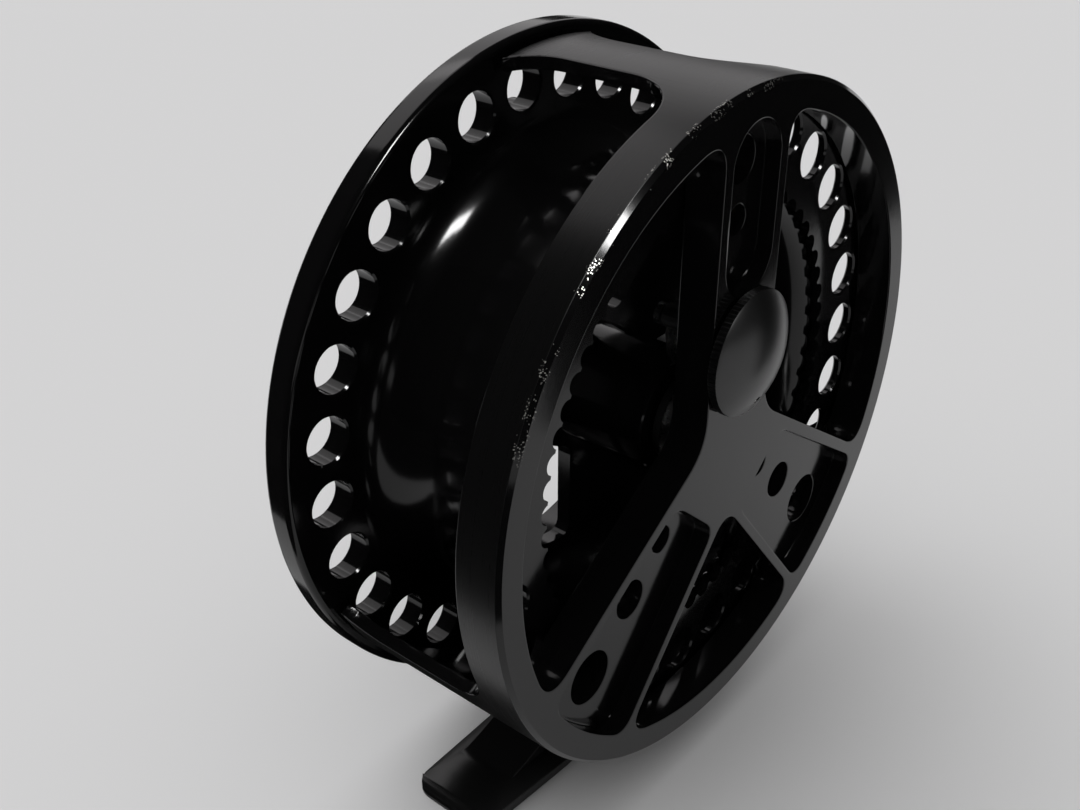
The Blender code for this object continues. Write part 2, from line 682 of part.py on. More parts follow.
def foot_plan_outline():
    """Plan of the foot: full width in the middle, drawn in to rounded tips."""
    tip = FOOT_LENGTH / 2
    half = FOOT_WIDTH / 2
    end = FOOT_TIP_WIDTH / 2
    footing = FOOT_PEDESTAL_FOOTING / 2
    right = [(footing, half), (tip - FOOT_TIP_ROUND, end)]
    right += soft_corner((tip - FOOT_TIP_ROUND, end), (tip, end), (tip, end - FOOT_TIP_ROUND))[1:]
    lower = [(x, -y) for x, y in reversed(right)]
    return right + lower + mirrored(right + lower)


def foot_section_outline():
    """Cross-section of the foot: thin bevelled edges below a narrower pedestal."""
    edge = FOOT_WIDTH / 2 + GAP
    stem = FOOT_PEDESTAL_WIDTH / 2
    right = [(edge, -FOOT_WIDTH), (edge, FOOT_EDGE_THICKNESS), (stem, FOOT_BEVEL_TOP), (stem, FOOT_WIDTH)]
    return right + mirrored(right)


def reel_foot():
    side = foot_side_outline()
    foot = flat("reel_foot", [side], -FOOT_WIDTH, FOOT_WIDTH, None, FOOT_ANODISE)
    foot.rotation_euler = (math.pi / 2, 0, 0)
    plan = flat("foot_plan", [foot_plan_outline()], -AXLE_HEIGHT, AXLE_HEIGHT, None)
    boolean(foot, plan, "INTERSECT")
    section = flat("foot_section", [foot_section_outline()], -FOOT_LENGTH, FOOT_LENGTH, None)
    section.rotation_euler = (math.pi / 2, 0, math.pi / 2)
    boolean(foot, section, "INTERSECT")
    top = AXLE_HEIGHT - RING_RADIUS + 3 * CAGE_WALL
    shank = foot_screw_bores("foot_screw_shanks", -FOOT_SCREW_HEAD_DEPTH, top, FOOT_SCREW_RADIUS + GAP)
    head_top = FOOT_SCREW_RECESS + FOOT_SCREW_HEAD_DEPTH + GAP
    head_bore = FOOT_SCREW_HEAD_RADIUS + GAP
    head = foot_screw_bores("foot_screw_heads", -FOOT_SCREW_HEAD_DEPTH, head_top, head_bore)
    boolean(foot, shank)
    boolean(foot, head)


def foot_screws():
    """Two screws up through the foot, their tips inside the wall of the bottom bridge."""
    x = FOOT_SCREW_SPACING / 2
    wall_inside = AXLE_HEIGHT - math.sqrt((RING_RADIUS - CAGE_WALL) ** 2 - x**2)
    tip = wall_inside - 2 * GAP
    neck = FOOT_SCREW_RECESS + FOOT_SCREW_HEAD_DEPTH
    profile = [
        (0, -FOOT_SCREW_RECESS),
        (FOOT_SCREW_HEAD_RADIUS, -FOOT_SCREW_RECESS),
        (FOOT_SCREW_HEAD_RADIUS, -neck),
        (FOOT_SCREW_RADIUS, -neck),
        (FOOT_SCREW_RADIUS, -tip),
        (0, -tip),
    ]
    key = [(0, 0, FOOT_SCREW_HEAD_RADIUS / 2)]
    for name, place in zip(("foot_screw_left", "foot_screw_right"), foot_screw_places()):
        screw = turned(name, profile, None, STEEL, SMALL_STEPS)
        screw.location = (place, 0, 0)
        socket = drills(name + "_socket", key, -neck + 2 * GAP, GAP, screw, 6)
        boolean(screw, socket)


# Spool


def flare(start_depth, end_depth, bead, drum):
    """Points of the smooth sweep from a flange's bead down to the arbor drum."""
    points = []
    for i in range(FLARE_STEPS + 1):
        turn = math.pi / 2 * i / FLARE_STEPS
        radius = drum + (bead - drum) * (1 - math.sin(turn))
        points.append((radius, start_depth + (end_depth - start_depth) * (1 - math.cos(turn))))
    return points


def flange_holes(name, circle_radius, phase, back, front):
    """Cutter of the ring of round holes through one flange."""
    step = 2 * math.pi / HOLE_COUNT
    holes = [(*polar(circle_radius, phase + i * step), HOLE_RADIUS) for i in range(HOLE_COUNT)]
    return drills(name, holes, back, front, SPOOL_TURN, HOLE_STEPS)


def rear_flange():
    """The thin ring behind the drum, with the click track cut in its inner edge."""
    profile = ring_profile(TRACK_RADIUS, REAR_FLANGE_RADIUS, REAR_FLANGE_BACK, REAR_FLANGE_FRONT)
    ring = turned("rear_flange", profile, SPOOL_TURN, BLACK_ANODISE, FULL_STEPS)
    past = REAR_FLANGE_FRONT + REAR_FLANGE_THICKNESS
    boolean(ring, flange_holes("rear_flange_holes", REAR_HOLE_CIRCLE, REAR_HOLE_PHASE, 0, past))
    boolean(ring, scallops())


def spool():
    rim_back = FRONT_FLANGE_BACK
    drum_back = REAR_FLANGE_FRONT + GAP
    rear_flare = flare(drum_back, drum_back + ARBOR_FLARE_LENGTH, REAR_BEAD_RADIUS, ARBOR_RADIUS)
    front_flare = flare(rim_back, rim_back - ARBOR_FLARE_LENGTH, FRONT_BEAD_RADIUS, ARBOR_RADIUS)
    rear_inside = [(radius - ARBOR_WALL, depth) for radius, depth in rear_flare]
    drum_inside = ARBOR_RADIUS - ARBOR_WALL
    profile = [
        *rear_flare,
        *front_flare[::-1],
        (RIM_RADIUS - RIM_ROUND, rim_back),
        (RIM_RADIUS, rim_back + RIM_ROUND),
        (RIM_RADIUS, RIM_FRONT - RIM_ROUND),
        (RIM_RADIUS - RIM_ROUND, RIM_FRONT),
        (RIM_RADIUS - RIM_LAND, RIM_FRONT),
        (RIM_RADIUS - RIM_LAND - RIM_STEP, FLANGE_FACE),
        (RECESS_RADIUS, FLANGE_FACE),
        (drum_inside, WEB_FRONT),
        (HUB_BOSS_RADIUS, WEB_FRONT),
        (HUB_BOSS_RADIUS, HUB_FRONT),
        (HUB_BORE_RADIUS, HUB_FRONT),
        (HUB_BORE_RADIUS, HUB_BACK),
        (HUB_RADIUS, HUB_BACK),
        (HUB_RADIUS, WEB_BACK),
        (drum_inside, WEB_BACK),
        *rear_inside[::-1],
    ]
    body = turned("spool", profile, SPOOL_TURN, BLACK_ANODISE, FULL_STEPS)
    short = rim_back - FRONT_FLANGE_THICKNESS
    past = RIM_FRONT + FRONT_FLANGE_THICKNESS
    boolean(body, flange_holes("front_flange_holes", FRONT_HOLE_CIRCLE, FRONT_HOLE_PHASE, short, past))
    boolean(body, spoke_windows())
    post_bores = [
        (*polar(CRANK_RADIUS, HANDLE_ANGLE + turn), STUD_RADIUS + GAP) for turn in (0, math.pi)
    ]
    stud_floor = FLANGE_FACE - STUD_LENGTH - GAP
    boolean(body, drills("stud_bores", post_bores, stud_floor, RIM_FRONT + PLATE_THICKNESS, SPOOL_TURN))
    cap_bores = [(x, y, CAP_SCREW_RADIUS + GAP) for x, y in cap_screw_places()]
    cap_floor = WEB_BACK + GAP
    boolean(body, drills("cap_screw_bores", cap_bores, cap_floor, RIM_FRONT, SPOOL_TURN, 8))


def scallops():
    """Cutter of the click track: a ring of round bites into the rear flange's inner edge."""
    centre = TRACK_RADIUS + SCALLOP_BITE - SCALLOP_RADIUS
    step = 2 * math.pi / SCALLOP_COUNT
    bites = [(*polar(centre, (i + 0.5) * step), SCALLOP_RADIUS) for i in range(SCALLOP_COUNT)]
    past = REAR_FLANGE_FRONT + REAR_FLANGE_THICKNESS
    return drills("scallop_bites", bites, 0, past, SPOOL_TURN, SCALLOP_STEPS)


def spoke_windows():
    """Cutter of the openings between the spokes of the front web."""
    shape = bmesh.new()
    joined = bpy.data.meshes.new("spoke_windows")
    low, high, corner = WEB_WINDOW_INNER_RADIUS, WEB_WINDOW_OUTER_RADIUS, WEB_WINDOW_CORNER
    turn = 2 * math.pi / SPOKE_COUNT
    for i in range(SPOKE_COUNT):
        inner = i * turn + math.asin(SPOKE_EDGE_OFFSET / low)
        outer = i * turn + math.asin(SPOKE_EDGE_OFFSET / high)
        end = (i + 1) * turn - SPOKE_ANGLE
        low_a, low_b = polar(low, inner), polar(low, end)
        high_a, high_b = polar(high, outer), polar(high, end)
        outline = ring_corner(low_a, high_a, high, 1, corner)
        outline += arc(high, outer + corner / high, end - corner / high, 6)[1:-1]
        outline += ring_corner(low_b, high_b, high, -1, corner)[::-1]
        outline += ring_corner(high_b, low_b, low, -1, corner)
        outline += arc(low, end - corner / low, inner + corner / low, 4)[1:-1]
        outline += ring_corner(high_a, low_a, low, 1, corner)[::-1]
        window = flat("spoke_window", [outline], HUB_BACK, RIM_FRONT + WEB_THICKNESS, None)
        shape.from_mesh(window.data)
        bpy.data.objects.remove(window)
    shape.to_mesh(joined)
    shape.free()
    return link(bpy.data.objects.new("spoke_windows", joined), SPOOL_TURN)


# Spindle, washer and bushes


def spindle():
    spigot_end = SPINDLE_SEAT - SPINDLE_SPIGOT_LENGTH
    groove_back = LATCH_BACK - GAP
    groove_front = LATCH_FRONT + GAP
    profile = [
        (0, spigot_end),
        (SPINDLE_SPIGOT_RADIUS, spigot_end),
        (SPINDLE_SPIGOT_RADIUS, SPINDLE_SEAT),
        (SPINDLE_FLANGE_RADIUS, SPINDLE_SEAT),
        (SPINDLE_FLANGE_RADIUS, SPINDLE_FLANGE_FRONT),
        (SPINDLE_RADIUS, SPINDLE_FLANGE_FRONT),
        (SPINDLE_RADIUS, groove_back),
        (SPINDLE_GROOVE_RADIUS, groove_back),
        (SPINDLE_GROOVE_RADIUS, groove_front),
        (SPINDLE_RADIUS, groove_front),
        (SPINDLE_GROOVE_RADIUS, SPINDLE_END),
        (0, SPINDLE_END),
    ]
    turned("spindle", profile, AXLE, STEEL)


def ring_profile(inner, outer, back, front):
    return [(inner, back), (outer, back), (outer, front), (inner, front)]


def spindle_washer_and_bushes():
    running = SPINDLE_RADIUS + GAP
    washer_back = SPINDLE_FLANGE_FRONT + GAP
    washer = ring_profile(running, WASHER_RADIUS, washer_back, washer_back + WASHER_THICKNESS)
    turned("thrust_washer", washer, AXLE, WASHER_POLYMER)
    pressed = HUB_BORE_RADIUS - GAP
    rear = ring_profile(running, pressed, HUB_BACK, HUB_BACK + BUSH_LENGTH)
    turned("rear_bush", rear, SPOOL_TURN, BRONZE)
    front = ring_profile(running, pressed, HUB_FRONT - BUSH_LENGTH, HUB_FRONT)
    turned("front_bush", front, SPOOL_TURN, BRONZE)


# Spool cap and latch


def cap_screw_places():
    return [(0, CAP_SCREW_OFFSET), (0, -CAP_SCREW_OFFSET)]


def spool_cap():
    outer = CAP_BORE_RADIUS + CAP_WALL
    profile = [
        (CAP_BORE_RADIUS, CAP_BACK),
        (outer, CAP_BACK),
        (outer, CAP_FRONT - CAP_WALL),
        (outer - CAP_WALL, CAP_FRONT),
        (0, CAP_FRONT),
        (0, CAP_CEILING),
        (CAP_BORE_RADIUS, CAP_CEILING),
    ]
    cap = turned("spool_cap", profile, SPOOL_TURN, BLACK_ANODISE)
    tab_half = LATCH_TAB_WIDTH / 2 + GAP
    tab_slot = [(-2 * outer, -tab_half), (0, -tab_half), (0, tab_half), (-2 * outer, tab_half)]
    boolean(cap, flat("latch_slot", [tab_slot], LATCH_BACK - GAP, LATCH_FRONT + GAP, SPOOL_TURN))
    bores = [(x, y, CAP_SCREW_RADIUS + GAP) for x, y in cap_screw_places()]
    boolean(cap, drills("cap_bores", bores, CAP_BACK, CAP_FRONT + CAP_WALL, SPOOL_TURN, 8))


def cap_screws():
    head_back = CAP_FRONT + GAP
    head_front = head_back + CAP_SCREW_RADIUS
    tip = WEB_FRONT - WEB_THICKNESS / 2
    profile = [
        (0, tip),
        (CAP_SCREW_RADIUS, tip),
        (CAP_SCREW_RADIUS, head_back),
        (CAP_SCREW_HEAD_RADIUS, head_back),
        (CAP_SCREW_HEAD_RADIUS, head_front),
        (0, head_front),
    ]
    for name, (x, y) in zip(("cap_screw_upper", "cap_screw_lower"), cap_screw_places()):
        screw = turned(name, profile, SPOOL_TURN, STEEL, 12)
        screw.location = (x, y, 0)


def latch_plate():
    """The plate that holds the spool: a keyhole whose narrow end sits in the spindle's groove."""
    half = LATCH_BODY_WIDTH / 2
    tab = LATCH_TAB_WIDTH / 2
    body = [
        (LATCH_BODY_FRONT, -half),
        (LATCH_BODY_FRONT, half),
        (-LATCH_BODY_BACK, half),
        (-LATCH_BODY_BACK, tab),
        (-LATCH_TAB_REACH, tab),
        (-LATCH_TAB_REACH, -tab),
        (-LATCH_BODY_BACK, -tab),
        (-LATCH_BODY_BACK, -half),
    ]
    wide = SPINDLE_RADIUS + GAP
    narrow = SPINDLE_GROOVE_RADIUS + GAP
    shoulder = math.acos(narrow / wide)
    steps = SMALL_STEPS
    keyhole = []
    for i in range(steps + 1):
        turn = -math.pi / 2 + math.pi * i / steps
        keyhole.append((narrow * math.cos(turn), narrow * math.sin(turn)))
    span = math.pi + 2 * shoulder
    for i in range(steps + 1):
        turn = math.pi - span / 2 + span * i / steps
        keyhole.append((-LATCH_TRAVEL + wide * math.cos(turn), wide * math.sin(turn)))
    plate = flat("latch_plate", [body, keyhole], LATCH_BACK, LATCH_FRONT, SPOOL_TURN, SPRING_STEEL)
    lip_back = LATCH_BODY_FRONT - LATCH_LIP_THICKNESS
    lip_half = LATCH_LIP_WIDTH / 2
    lip = [
        (lip_back, -lip_half),
        (LATCH_BODY_FRONT, -lip_half),
        (LATCH_BODY_FRONT, lip_half),
        (lip_back, lip_half),
    ]
    lip_front = LATCH_FRONT + LATCH_LIP_HEIGHT
    boolean(plate, flat("latch_lip", [lip], LATCH_BACK, lip_front, SPOOL_TURN), "UNION")


def latch_spring():
    """A small coil between the end of the latch plate and the wall of the cap."""
    curve = bpy.data.curves.new("latch_spring", "CURVE")
    curve.dimensions = "3D"
    curve.bevel_depth = LATCH_SPRING_WIRE
    curve.bevel_resolution = 1
    curve.use_fill_caps = True
    start = LATCH_BODY_FRONT + GAP + LATCH_SPRING_WIRE
    end = CAP_BORE_RADIUS - GAP - LATCH_SPRING_WIRE
    per_turn = 10
    count = LATCH_SPRING_TURNS * per_turn
    spline = curve.splines.new("POLY")
    spline.points.add(count)
    depth = (HUB_FRONT + CAP_CEILING) / 2
    for i, point in enumerate(spline.points):
        turn = 2 * math.pi * i / per_turn
        x = start + (end - start) * i / count
        y = LATCH_SPRING_RADIUS * math.cos(turn)
        point.co = (x, y, -depth + LATCH_SPRING_RADIUS * math.sin(turn), 1)
    obj = bpy.data.objects.new("latch_spring", curve)
    obj.parent = SPOOL_TURN
    curve.materials.append(SPRING_STEEL)
    PARTS.objects.link(obj)


# Handle and counterweight


def handle():
    base = FLANGE_FACE + GAP
    shoulder = base + POST_FLANGE_THICKNESS
    knob_back = shoulder + GAP
    knob_front = knob_back + HANDLE_LENGTH
    sink_floor = knob_front - HANDLE_SCREW_HEAD_THICKNESS - GAP
    post_end = sink_floor
    bore = HANDLE_SCREW_RADIUS + GAP
    post = [
        (0, FLANGE_FACE - STUD_LENGTH),
        (STUD_RADIUS, FLANGE_FACE - STUD_LENGTH),
        (STUD_RADIUS, base),
        (POST_FLANGE_RADIUS, base),
        (POST_FLANGE_RADIUS, shoulder),
        (POST_RADIUS, shoulder),
        (POST_RADIUS, post_end),
        (bore, post_end),
        (bore, post_end - HANDLE_SCREW_LENGTH - GAP),
        (0, post_end - HANDLE_SCREW_LENGTH - GAP),
    ]
    turned("handle_post", post, HANDLE_AXIS, STEEL, SMALL_STEPS)
    grip = [(POST_RADIUS + GAP, knob_back), (HANDLE_NECK_RADIUS, knob_back)]
    waist_steps = 6
    for i in range(waist_steps + 1):
        share = i / waist_steps
        swell = HANDLE_NECK_RADIUS + (HANDLE_END_RADIUS - HANDLE_NECK_RADIUS) * share**1.6
        grip.append((swell, knob_back + HANDLE_LENGTH * (0.06 + 0.82 * share)))
    sink = HANDLE_SCREW_HEAD_RADIUS + GAP
    grip += [
        (HANDLE_END_RADIUS - POST_RADIUS / 2, knob_front),
        (sink, knob_front),
        (sink, sink_floor),
        (POST_RADIUS + GAP, sink_floor),
    ]
    turned("handle_knob", grip, HANDLE_AXIS, HANDLE_RESIN, 20)
    head_back = post_end + GAP
    screw = [
        (0, post_end - HANDLE_SCREW_LENGTH),
        (HANDLE_SCREW_RADIUS, post_end - HANDLE_SCREW_LENGTH),
        (HANDLE_SCREW_RADIUS, head_back),
        (HANDLE_SCREW_HEAD_RADIUS, head_back),
        (HANDLE_SCREW_HEAD_RADIUS, head_back + HANDLE_SCREW_HEAD_THICKNESS),
        (0, head_back + HANDLE_SCREW_HEAD_THICKNESS),
    ]
    turned("handle_screw", screw, HANDLE_AXIS, STEEL, SMALL_STEPS)


def counterweight():
    back = FLANGE_FACE + GAP
    front = back + WEIGHT_THICKNESS
    bore = STUD_RADIUS + GAP
    weight = [
        (bore, back),
        (WEIGHT_RADIUS, back),
        (WEIGHT_RADIUS, front - STUD_RADIUS / 2),
        (WEIGHT_RADIUS - STUD_RADIUS / 2, front),
        (bore, front),
    ]
    turned("counterweight", weight, WEIGHT_AXIS, BLACK_ANODISE, 24)
    head_back = front + GAP
    head_radius = STUD_RADIUS * 1.8
    screw = [
        (0, FLANGE_FACE - STUD_LENGTH),
        (STUD_RADIUS, FLANGE_FACE - STUD_LENGTH),
        (STUD_RADIUS, head_back),
        (head_radius, head_back),
        (head_radius - GAP, head_back + STUD_RADIUS / 2),
        (0, head_back + STUD_RADIUS / 2),
    ]
    turned("counterweight_screw", screw, WEIGHT_AXIS, STEEL, SMALL_STEPS)


# Regulator


def knurled_outline():
    points = []
    for i in range(2 * KNOB_KNURLS):
        radius = KNOB_RADIUS - (KNURL_DEPTH if i % 2 else 0)
        points.append(polar(radius, math.pi * i / KNOB_KNURLS))
    return points


def dome_drop(radius):
    """How far the knob's ball-shaped top has fallen away at this radius."""
    ball = (KNOB_RADIUS**2 + KNOB_DOME**2) / (2 * KNOB_DOME)
    return ball - math.sqrt(ball**2 - radius**2)


def regulator_knob():
    blank_radius = KNOB_RADIUS + 2 * KNURL_DEPTH
    dome_steps = 6
    profile = [(0, KNOB_FLOOR), (0, KNOB_TOP)]
    for i in range(1, dome_steps + 1):
        radius = blank_radius * i / dome_steps
        profile.append((radius, KNOB_TOP + dome_drop(radius)))
    profile += [
        (blank_radius, KNOB_BASE),
        (KNOB_RECESS_RADIUS, KNOB_BASE),
        (KNOB_RECESS_RADIUS, KNOB_FLOOR),
    ]
    knob = turned("regulator_knob", profile, REGULATOR_AXIS, KNOB_ANODISE, MID_STEPS)
    boolean(knob, flat("knurl", [knurled_outline()], 2 * KNOB_TOP, -KNOB_TOP, REGULATOR_AXIS), "INTERSECT")
    seat = [(0, 0, REGULATOR_SHAFT_RADIUS + GAP)]
    seat_end = KNOB_FLOOR - REGULATOR_SHAFT_SEAT - GAP
    boolean(knob, drills("knob_seat", seat, seat_end, PLATE_THICKNESS, REGULATOR_AXIS))
    dimple = [(0, -DIMPLE_OFFSET, DIMPLE_RADIUS)]
    dimple_floor = KNOB_TOP + dome_drop(DIMPLE_OFFSET) + DIMPLE_DEPTH
    boolean(knob, drills("knob_dimple", dimple, 2 * KNOB_TOP, dimple_floor, REGULATOR_AXIS, 10))


def regulator_shaft_and_bush():
    end = CAM_FRONT
    bore = CAM_SCREW_RADIUS + GAP
    bore_floor = end - CAM_SCREW_LENGTH - GAP
    start = KNOB_FLOOR - REGULATOR_SHAFT_SEAT
    shaft = [
        (0, start),
        (REGULATOR_SHAFT_RADIUS, start),
        (REGULATOR_SHAFT_RADIUS, end),
        (bore, end),
        (bore, bore_floor),
        (0, bore_floor),
    ]
    turned("regulator_shaft", shaft, REGULATOR_AXIS, STEEL, SMALL_STEPS)
    flange_back = PLATE_THICKNESS + GAP
    flange_front = flange_back + REGULATOR_BUSH_FLANGE_THICKNESS
    running = REGULATOR_SHAFT_RADIUS + GAP
    bush = [
        (running, 0),
        (REGULATOR_BUSH_RADIUS, 0),
        (REGULATOR_BUSH_RADIUS, flange_back),
        (REGULATOR_BUSH_FLANGE_RADIUS, flange_back),
        (REGULATOR_BUSH_FLANGE_RADIUS, flange_front),
        (running, flange_front),
    ]
    turned("regulator_bush", bush, REGULATOR_AXIS, BRONZE, SMALL_STEPS)
    washer_front = -GAP
    washer_back = washer_front - FRICTION_WASHER_THICKNESS
    washer = ring_profile(running, FRICTION_WASHER_RADIUS, washer_back, washer_front)
    turned("friction_washer", washer, REGULATOR_AXIS, WASHER_POLYMER, 24)


def regulator_cam():
    """A snail cam: its radius grows steadily over a full turn, and steps back at the end."""
    steps = MID_STEPS
    outline = []
    for i in range(steps):
        share = i / (steps - 1)
        radius = CAM_LEAST_RADIUS + (CAM_MOST_RADIUS - CAM_LEAST_RADIUS) * share
        outline.append(polar(radius, math.pi - 2 * math.pi * i / steps))
    bore = circle(0, 0, REGULATOR_SHAFT_RADIUS + GAP, SMALL_STEPS)
    flat("regulator_cam", [outline, bore], CAM_BACK, CAM_FRONT, REGULATOR_AXIS, STEEL)
    head_back = CAM_FRONT + GAP
    screw = [
        (0, CAM_FRONT - CAM_SCREW_LENGTH),
        (CAM_SCREW_RADIUS, CAM_FRONT - CAM_SCREW_LENGTH),
        (CAM_SCREW_RADIUS, head_back),
        (CAM_SCREW_HEAD_RADIUS, head_back),
        (CAM_SCREW_HEAD_RADIUS, head_back + CAM_SCREW_HEAD_THICKNESS),
        (0, head_back + CAM_SCREW_HEAD_THICKNESS),
    ]
    turned("cam_screw", screw, REGULATOR_AXIS, STEEL, SMALL_STEPS)


# Check pawl and its spring

LEAF_LOW = REGULATOR_OFFSET + CAM_MOST_RADIUS + RUN_GAP + LEAF_THICKNESS / 2
LEAF_HIGH = PAWL_PIVOT - PAWL_HEEL_RADIUS - GAP - LEAF_THICKNESS / 2
LEAF_EYE_HEIGHT = LEAF_LOW + LEAF_THICKNESS / 2 - LEAF_EYE_RADIUS + RUN_GAP


def check_pawl():
    tip = TRACK_RADIUS - GAP - PAWL_PIVOT
    heel = math.acos(PAWL_HEEL_FLAT / PAWL_HEEL_RADIUS)
    cheek = math.radians(62)
    right = [(PAWL_TIP_WIDTH / 2, tip)]
    steps = 6
    for i in range(steps + 1):
        right.append(polar(PAWL_HEEL_RADIUS, cheek + (math.pi - heel - cheek) * i / steps))
    bore = circle(0, 0, PAWL_PIN_RADIUS + GAP, SMALL_STEPS)
    flat("check_pawl", [right + mirrored(right), bore], MECHANISM_BACK, PAWL_FRONT, PAWL_AXIS, BRONZE)


def pawl_pin_and_clip():
    start = PLATE_THICKNESS - PAWL_PIN_GRIP
    clip_back = PAWL_FRONT + GAP
    clip_front = clip_back + CLIP_THICKNESS
    end = clip_front + GAP
    pin = [(0, start), (PAWL_PIN_RADIUS, start), (PAWL_PIN_RADIUS, end), (0, end)]
    turned("pawl_pin", pin, PAWL_AXIS, STEEL, SMALL_STEPS)
    inner = PAWL_PIN_RADIUS + GAP
    mouth = math.asin(CLIP_OPENING / 2 / inner)
    steps = SMALL_STEPS
    turns = [mouth + (2 * math.pi - 2 * mouth) * i / steps for i in range(steps + 1)]
    outline = [polar(CLIP_RADIUS, turn) for turn in turns]
    outline += [polar(inner, turn) for turn in reversed(turns)]
    flat("pawl_clip", [outline], clip_back, clip_front, PAWL_AXIS, SPRING_STEEL)


def ribbon(path, thickness):
    """The outline of a bent strip, from the line along its middle."""
    left, right = [], []
    for i, point in enumerate(path):
        before, after = path[max(i - 1, 0)], path[min(i + 1, len(path) - 1)]
        length = math.hypot(after[0] - before[0], after[1] - before[1])
        side = ((before[1] - after[1]) / length, (after[0] - before[0]) / length)
        left.append(along(point, side, thickness / 2))
        right.append(along(point, side, -thickness / 2))
    return left + right[::-1]


def check_spring():
    """A leaf spring held by an eye, over the regulator cam and up under the heel of the pawl."""
    eye = (-LEAF_EYE_X, LEAF_EYE_HEIGHT)
    path = [
        (-LEAF_EYE_X, LEAF_LOW),
        (-LEAF_EYE_X / 2, LEAF_LOW),
        (LEAF_FREE_END / 4, LEAF_LOW),
        (LEAF_FREE_END / 2, (LEAF_LOW + LEAF_HIGH) / 2),
        (LEAF_FREE_END * 3 / 4, LEAF_HIGH),
        (LEAF_FREE_END, LEAF_HIGH),
    ]
    leaf = flat(
        "check_spring", [ribbon(path, LEAF_THICKNESS)], MECHANISM_BACK, LEAF_FRONT, AXLE, SPRING_STEEL
    )
    boolean(leaf, drills("leaf_eye", [(*eye, LEAF_EYE_RADIUS)], MECHANISM_BACK, LEAF_FRONT, AXLE), "UNION")
    bore = [(*eye, SPRING_SCREW_RADIUS + GAP)]
    boolean(leaf, drills("leaf_eye_bore", bore, 0, 2 * LEAF_FRONT, AXLE))
    head_back = LEAF_FRONT + GAP
    tip = PLATE_THICKNESS - SPRING_SCREW_GRIP
    screw = [
        (0, tip),
        (SPRING_SCREW_RADIUS, tip),
        (SPRING_SCREW_RADIUS, head_back),
        (SPRING_SCREW_HEAD_RADIUS, head_back),
        (SPRING_SCREW_HEAD_RADIUS, head_back + SPRING_SCREW_HEAD_THICKNESS),
        (0, head_back + SPRING_SCREW_HEAD_THICKNESS),
    ]
    made = turned("spring_screw", screw, AXLE, STEEL, SMALL_STEPS)
    made.location = (*eye, 0)


frame_cage()
reel_foot()
foot_screws()
rear_flange()
spool()
spindle()
spindle_washer_and_bushes()
spool_cap()
cap_screws()
latch_plate()
latch_spring()
handle()
counterweight()
regulator_knob()
regulator_shaft_and_bush()
regulator_cam()
check_pawl()
pawl_pin_and_clip()
check_spring()
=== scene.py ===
"""Looks of a black anodised large-arbor fly reel that stands on its foot."""

import json
import math

import bpy
from mathutils.kdtree import KDTree
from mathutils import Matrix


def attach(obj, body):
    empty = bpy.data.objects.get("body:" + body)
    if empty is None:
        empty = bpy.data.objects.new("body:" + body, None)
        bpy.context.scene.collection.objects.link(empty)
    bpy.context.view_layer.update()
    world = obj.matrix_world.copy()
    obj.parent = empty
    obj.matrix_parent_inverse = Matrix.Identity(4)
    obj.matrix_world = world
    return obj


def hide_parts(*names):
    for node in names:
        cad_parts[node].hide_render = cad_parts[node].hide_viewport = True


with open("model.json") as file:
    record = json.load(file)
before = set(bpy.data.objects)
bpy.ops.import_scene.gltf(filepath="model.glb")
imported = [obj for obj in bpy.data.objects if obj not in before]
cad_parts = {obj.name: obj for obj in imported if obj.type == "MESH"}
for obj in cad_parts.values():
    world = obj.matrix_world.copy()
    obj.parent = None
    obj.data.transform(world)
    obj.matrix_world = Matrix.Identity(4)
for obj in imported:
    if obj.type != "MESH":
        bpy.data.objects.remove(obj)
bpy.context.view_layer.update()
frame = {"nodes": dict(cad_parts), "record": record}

MM = 0.001

# Play between neighbours
PLAY = 0.3 * MM

# Place of the reel: depth runs along the axle from the back face to the handle side
BACK = -19.6 * MM
AXLE = 52.0 * MM

# Frame cage
RING_RADIUS = 45.0 * MM
RING_INNER_RADIUS = 41.0 * MM
PLATE = 5.2 * MM
RING_CHAMFER = 0.55 * MM
CAGE_WALL = 1.8 * MM
CAGE_DEPTH = 30.8 * MM
BAND_DEPTH = 6.2 * MM
TOP_BRIDGE_WAIST = 10.6 * MM
BOTTOM_BRIDGE_ANGLE = math.radians(121.0)
WINDOW_BACK_FILLET = 8.0 * MM
WINDOW_FRONT_FILLET = 8.5 * MM
WINDOW_FRONT_RUNOUT = 1.6 * MM

# Arms of the back plate
TOP_ARM_WIDTH = 13.6 * MM
ARM_HUB_WIDTH = 11.5 * MM
ARM_HUB_DROP = 1.8 * MM
ARM_UPPER_ANGLE = math.radians(124.0)
ARM_LOWER_ANGLE = math.radians(140.6)
BOTTOM_APEX = 11.2 * MM
ARM_CORNER = 4.0 * MM
POCKET_DEPTH = 2.5 * MM
POCKET_UPPER_RIB = 1.8 * MM
POCKET_LOWER_RIB = 1.5 * MM
POCKET_INNER_RADIUS = 10.4 * MM
POCKET_CORNER = 2.6 * MM
SLOT_WIDTH = 10.0 * MM
SLOT_DEPTH = 2.2 * MM
SLOT_INNER_END = 19.6 * MM
SLOT_OUTER_END = 41.0 * MM
ARM_HOLE_ANGLE = math.radians(133.0)
ARM_HOLES = ((35.1 * MM, 3.6 * MM), (24.3 * MM, 2.6 * MM), (15.8 * MM, 1.8 * MM))
TOP_HOLES = ((35.9 * MM, 2.8 * MM), (28.6 * MM, 1.8 * MM))
SPIGOT_BORE = 4.3 * MM
SPIGOT_FLOOR = 2.0 * MM
REGULATOR_HEIGHT = 12.3 * MM
REGULATOR_BORE = 3.4 * MM
PAWL_HEIGHT = 23.8 * MM
PAWL_BORE = 1.5 * MM
PAWL_FLOOR = 2.9 * MM

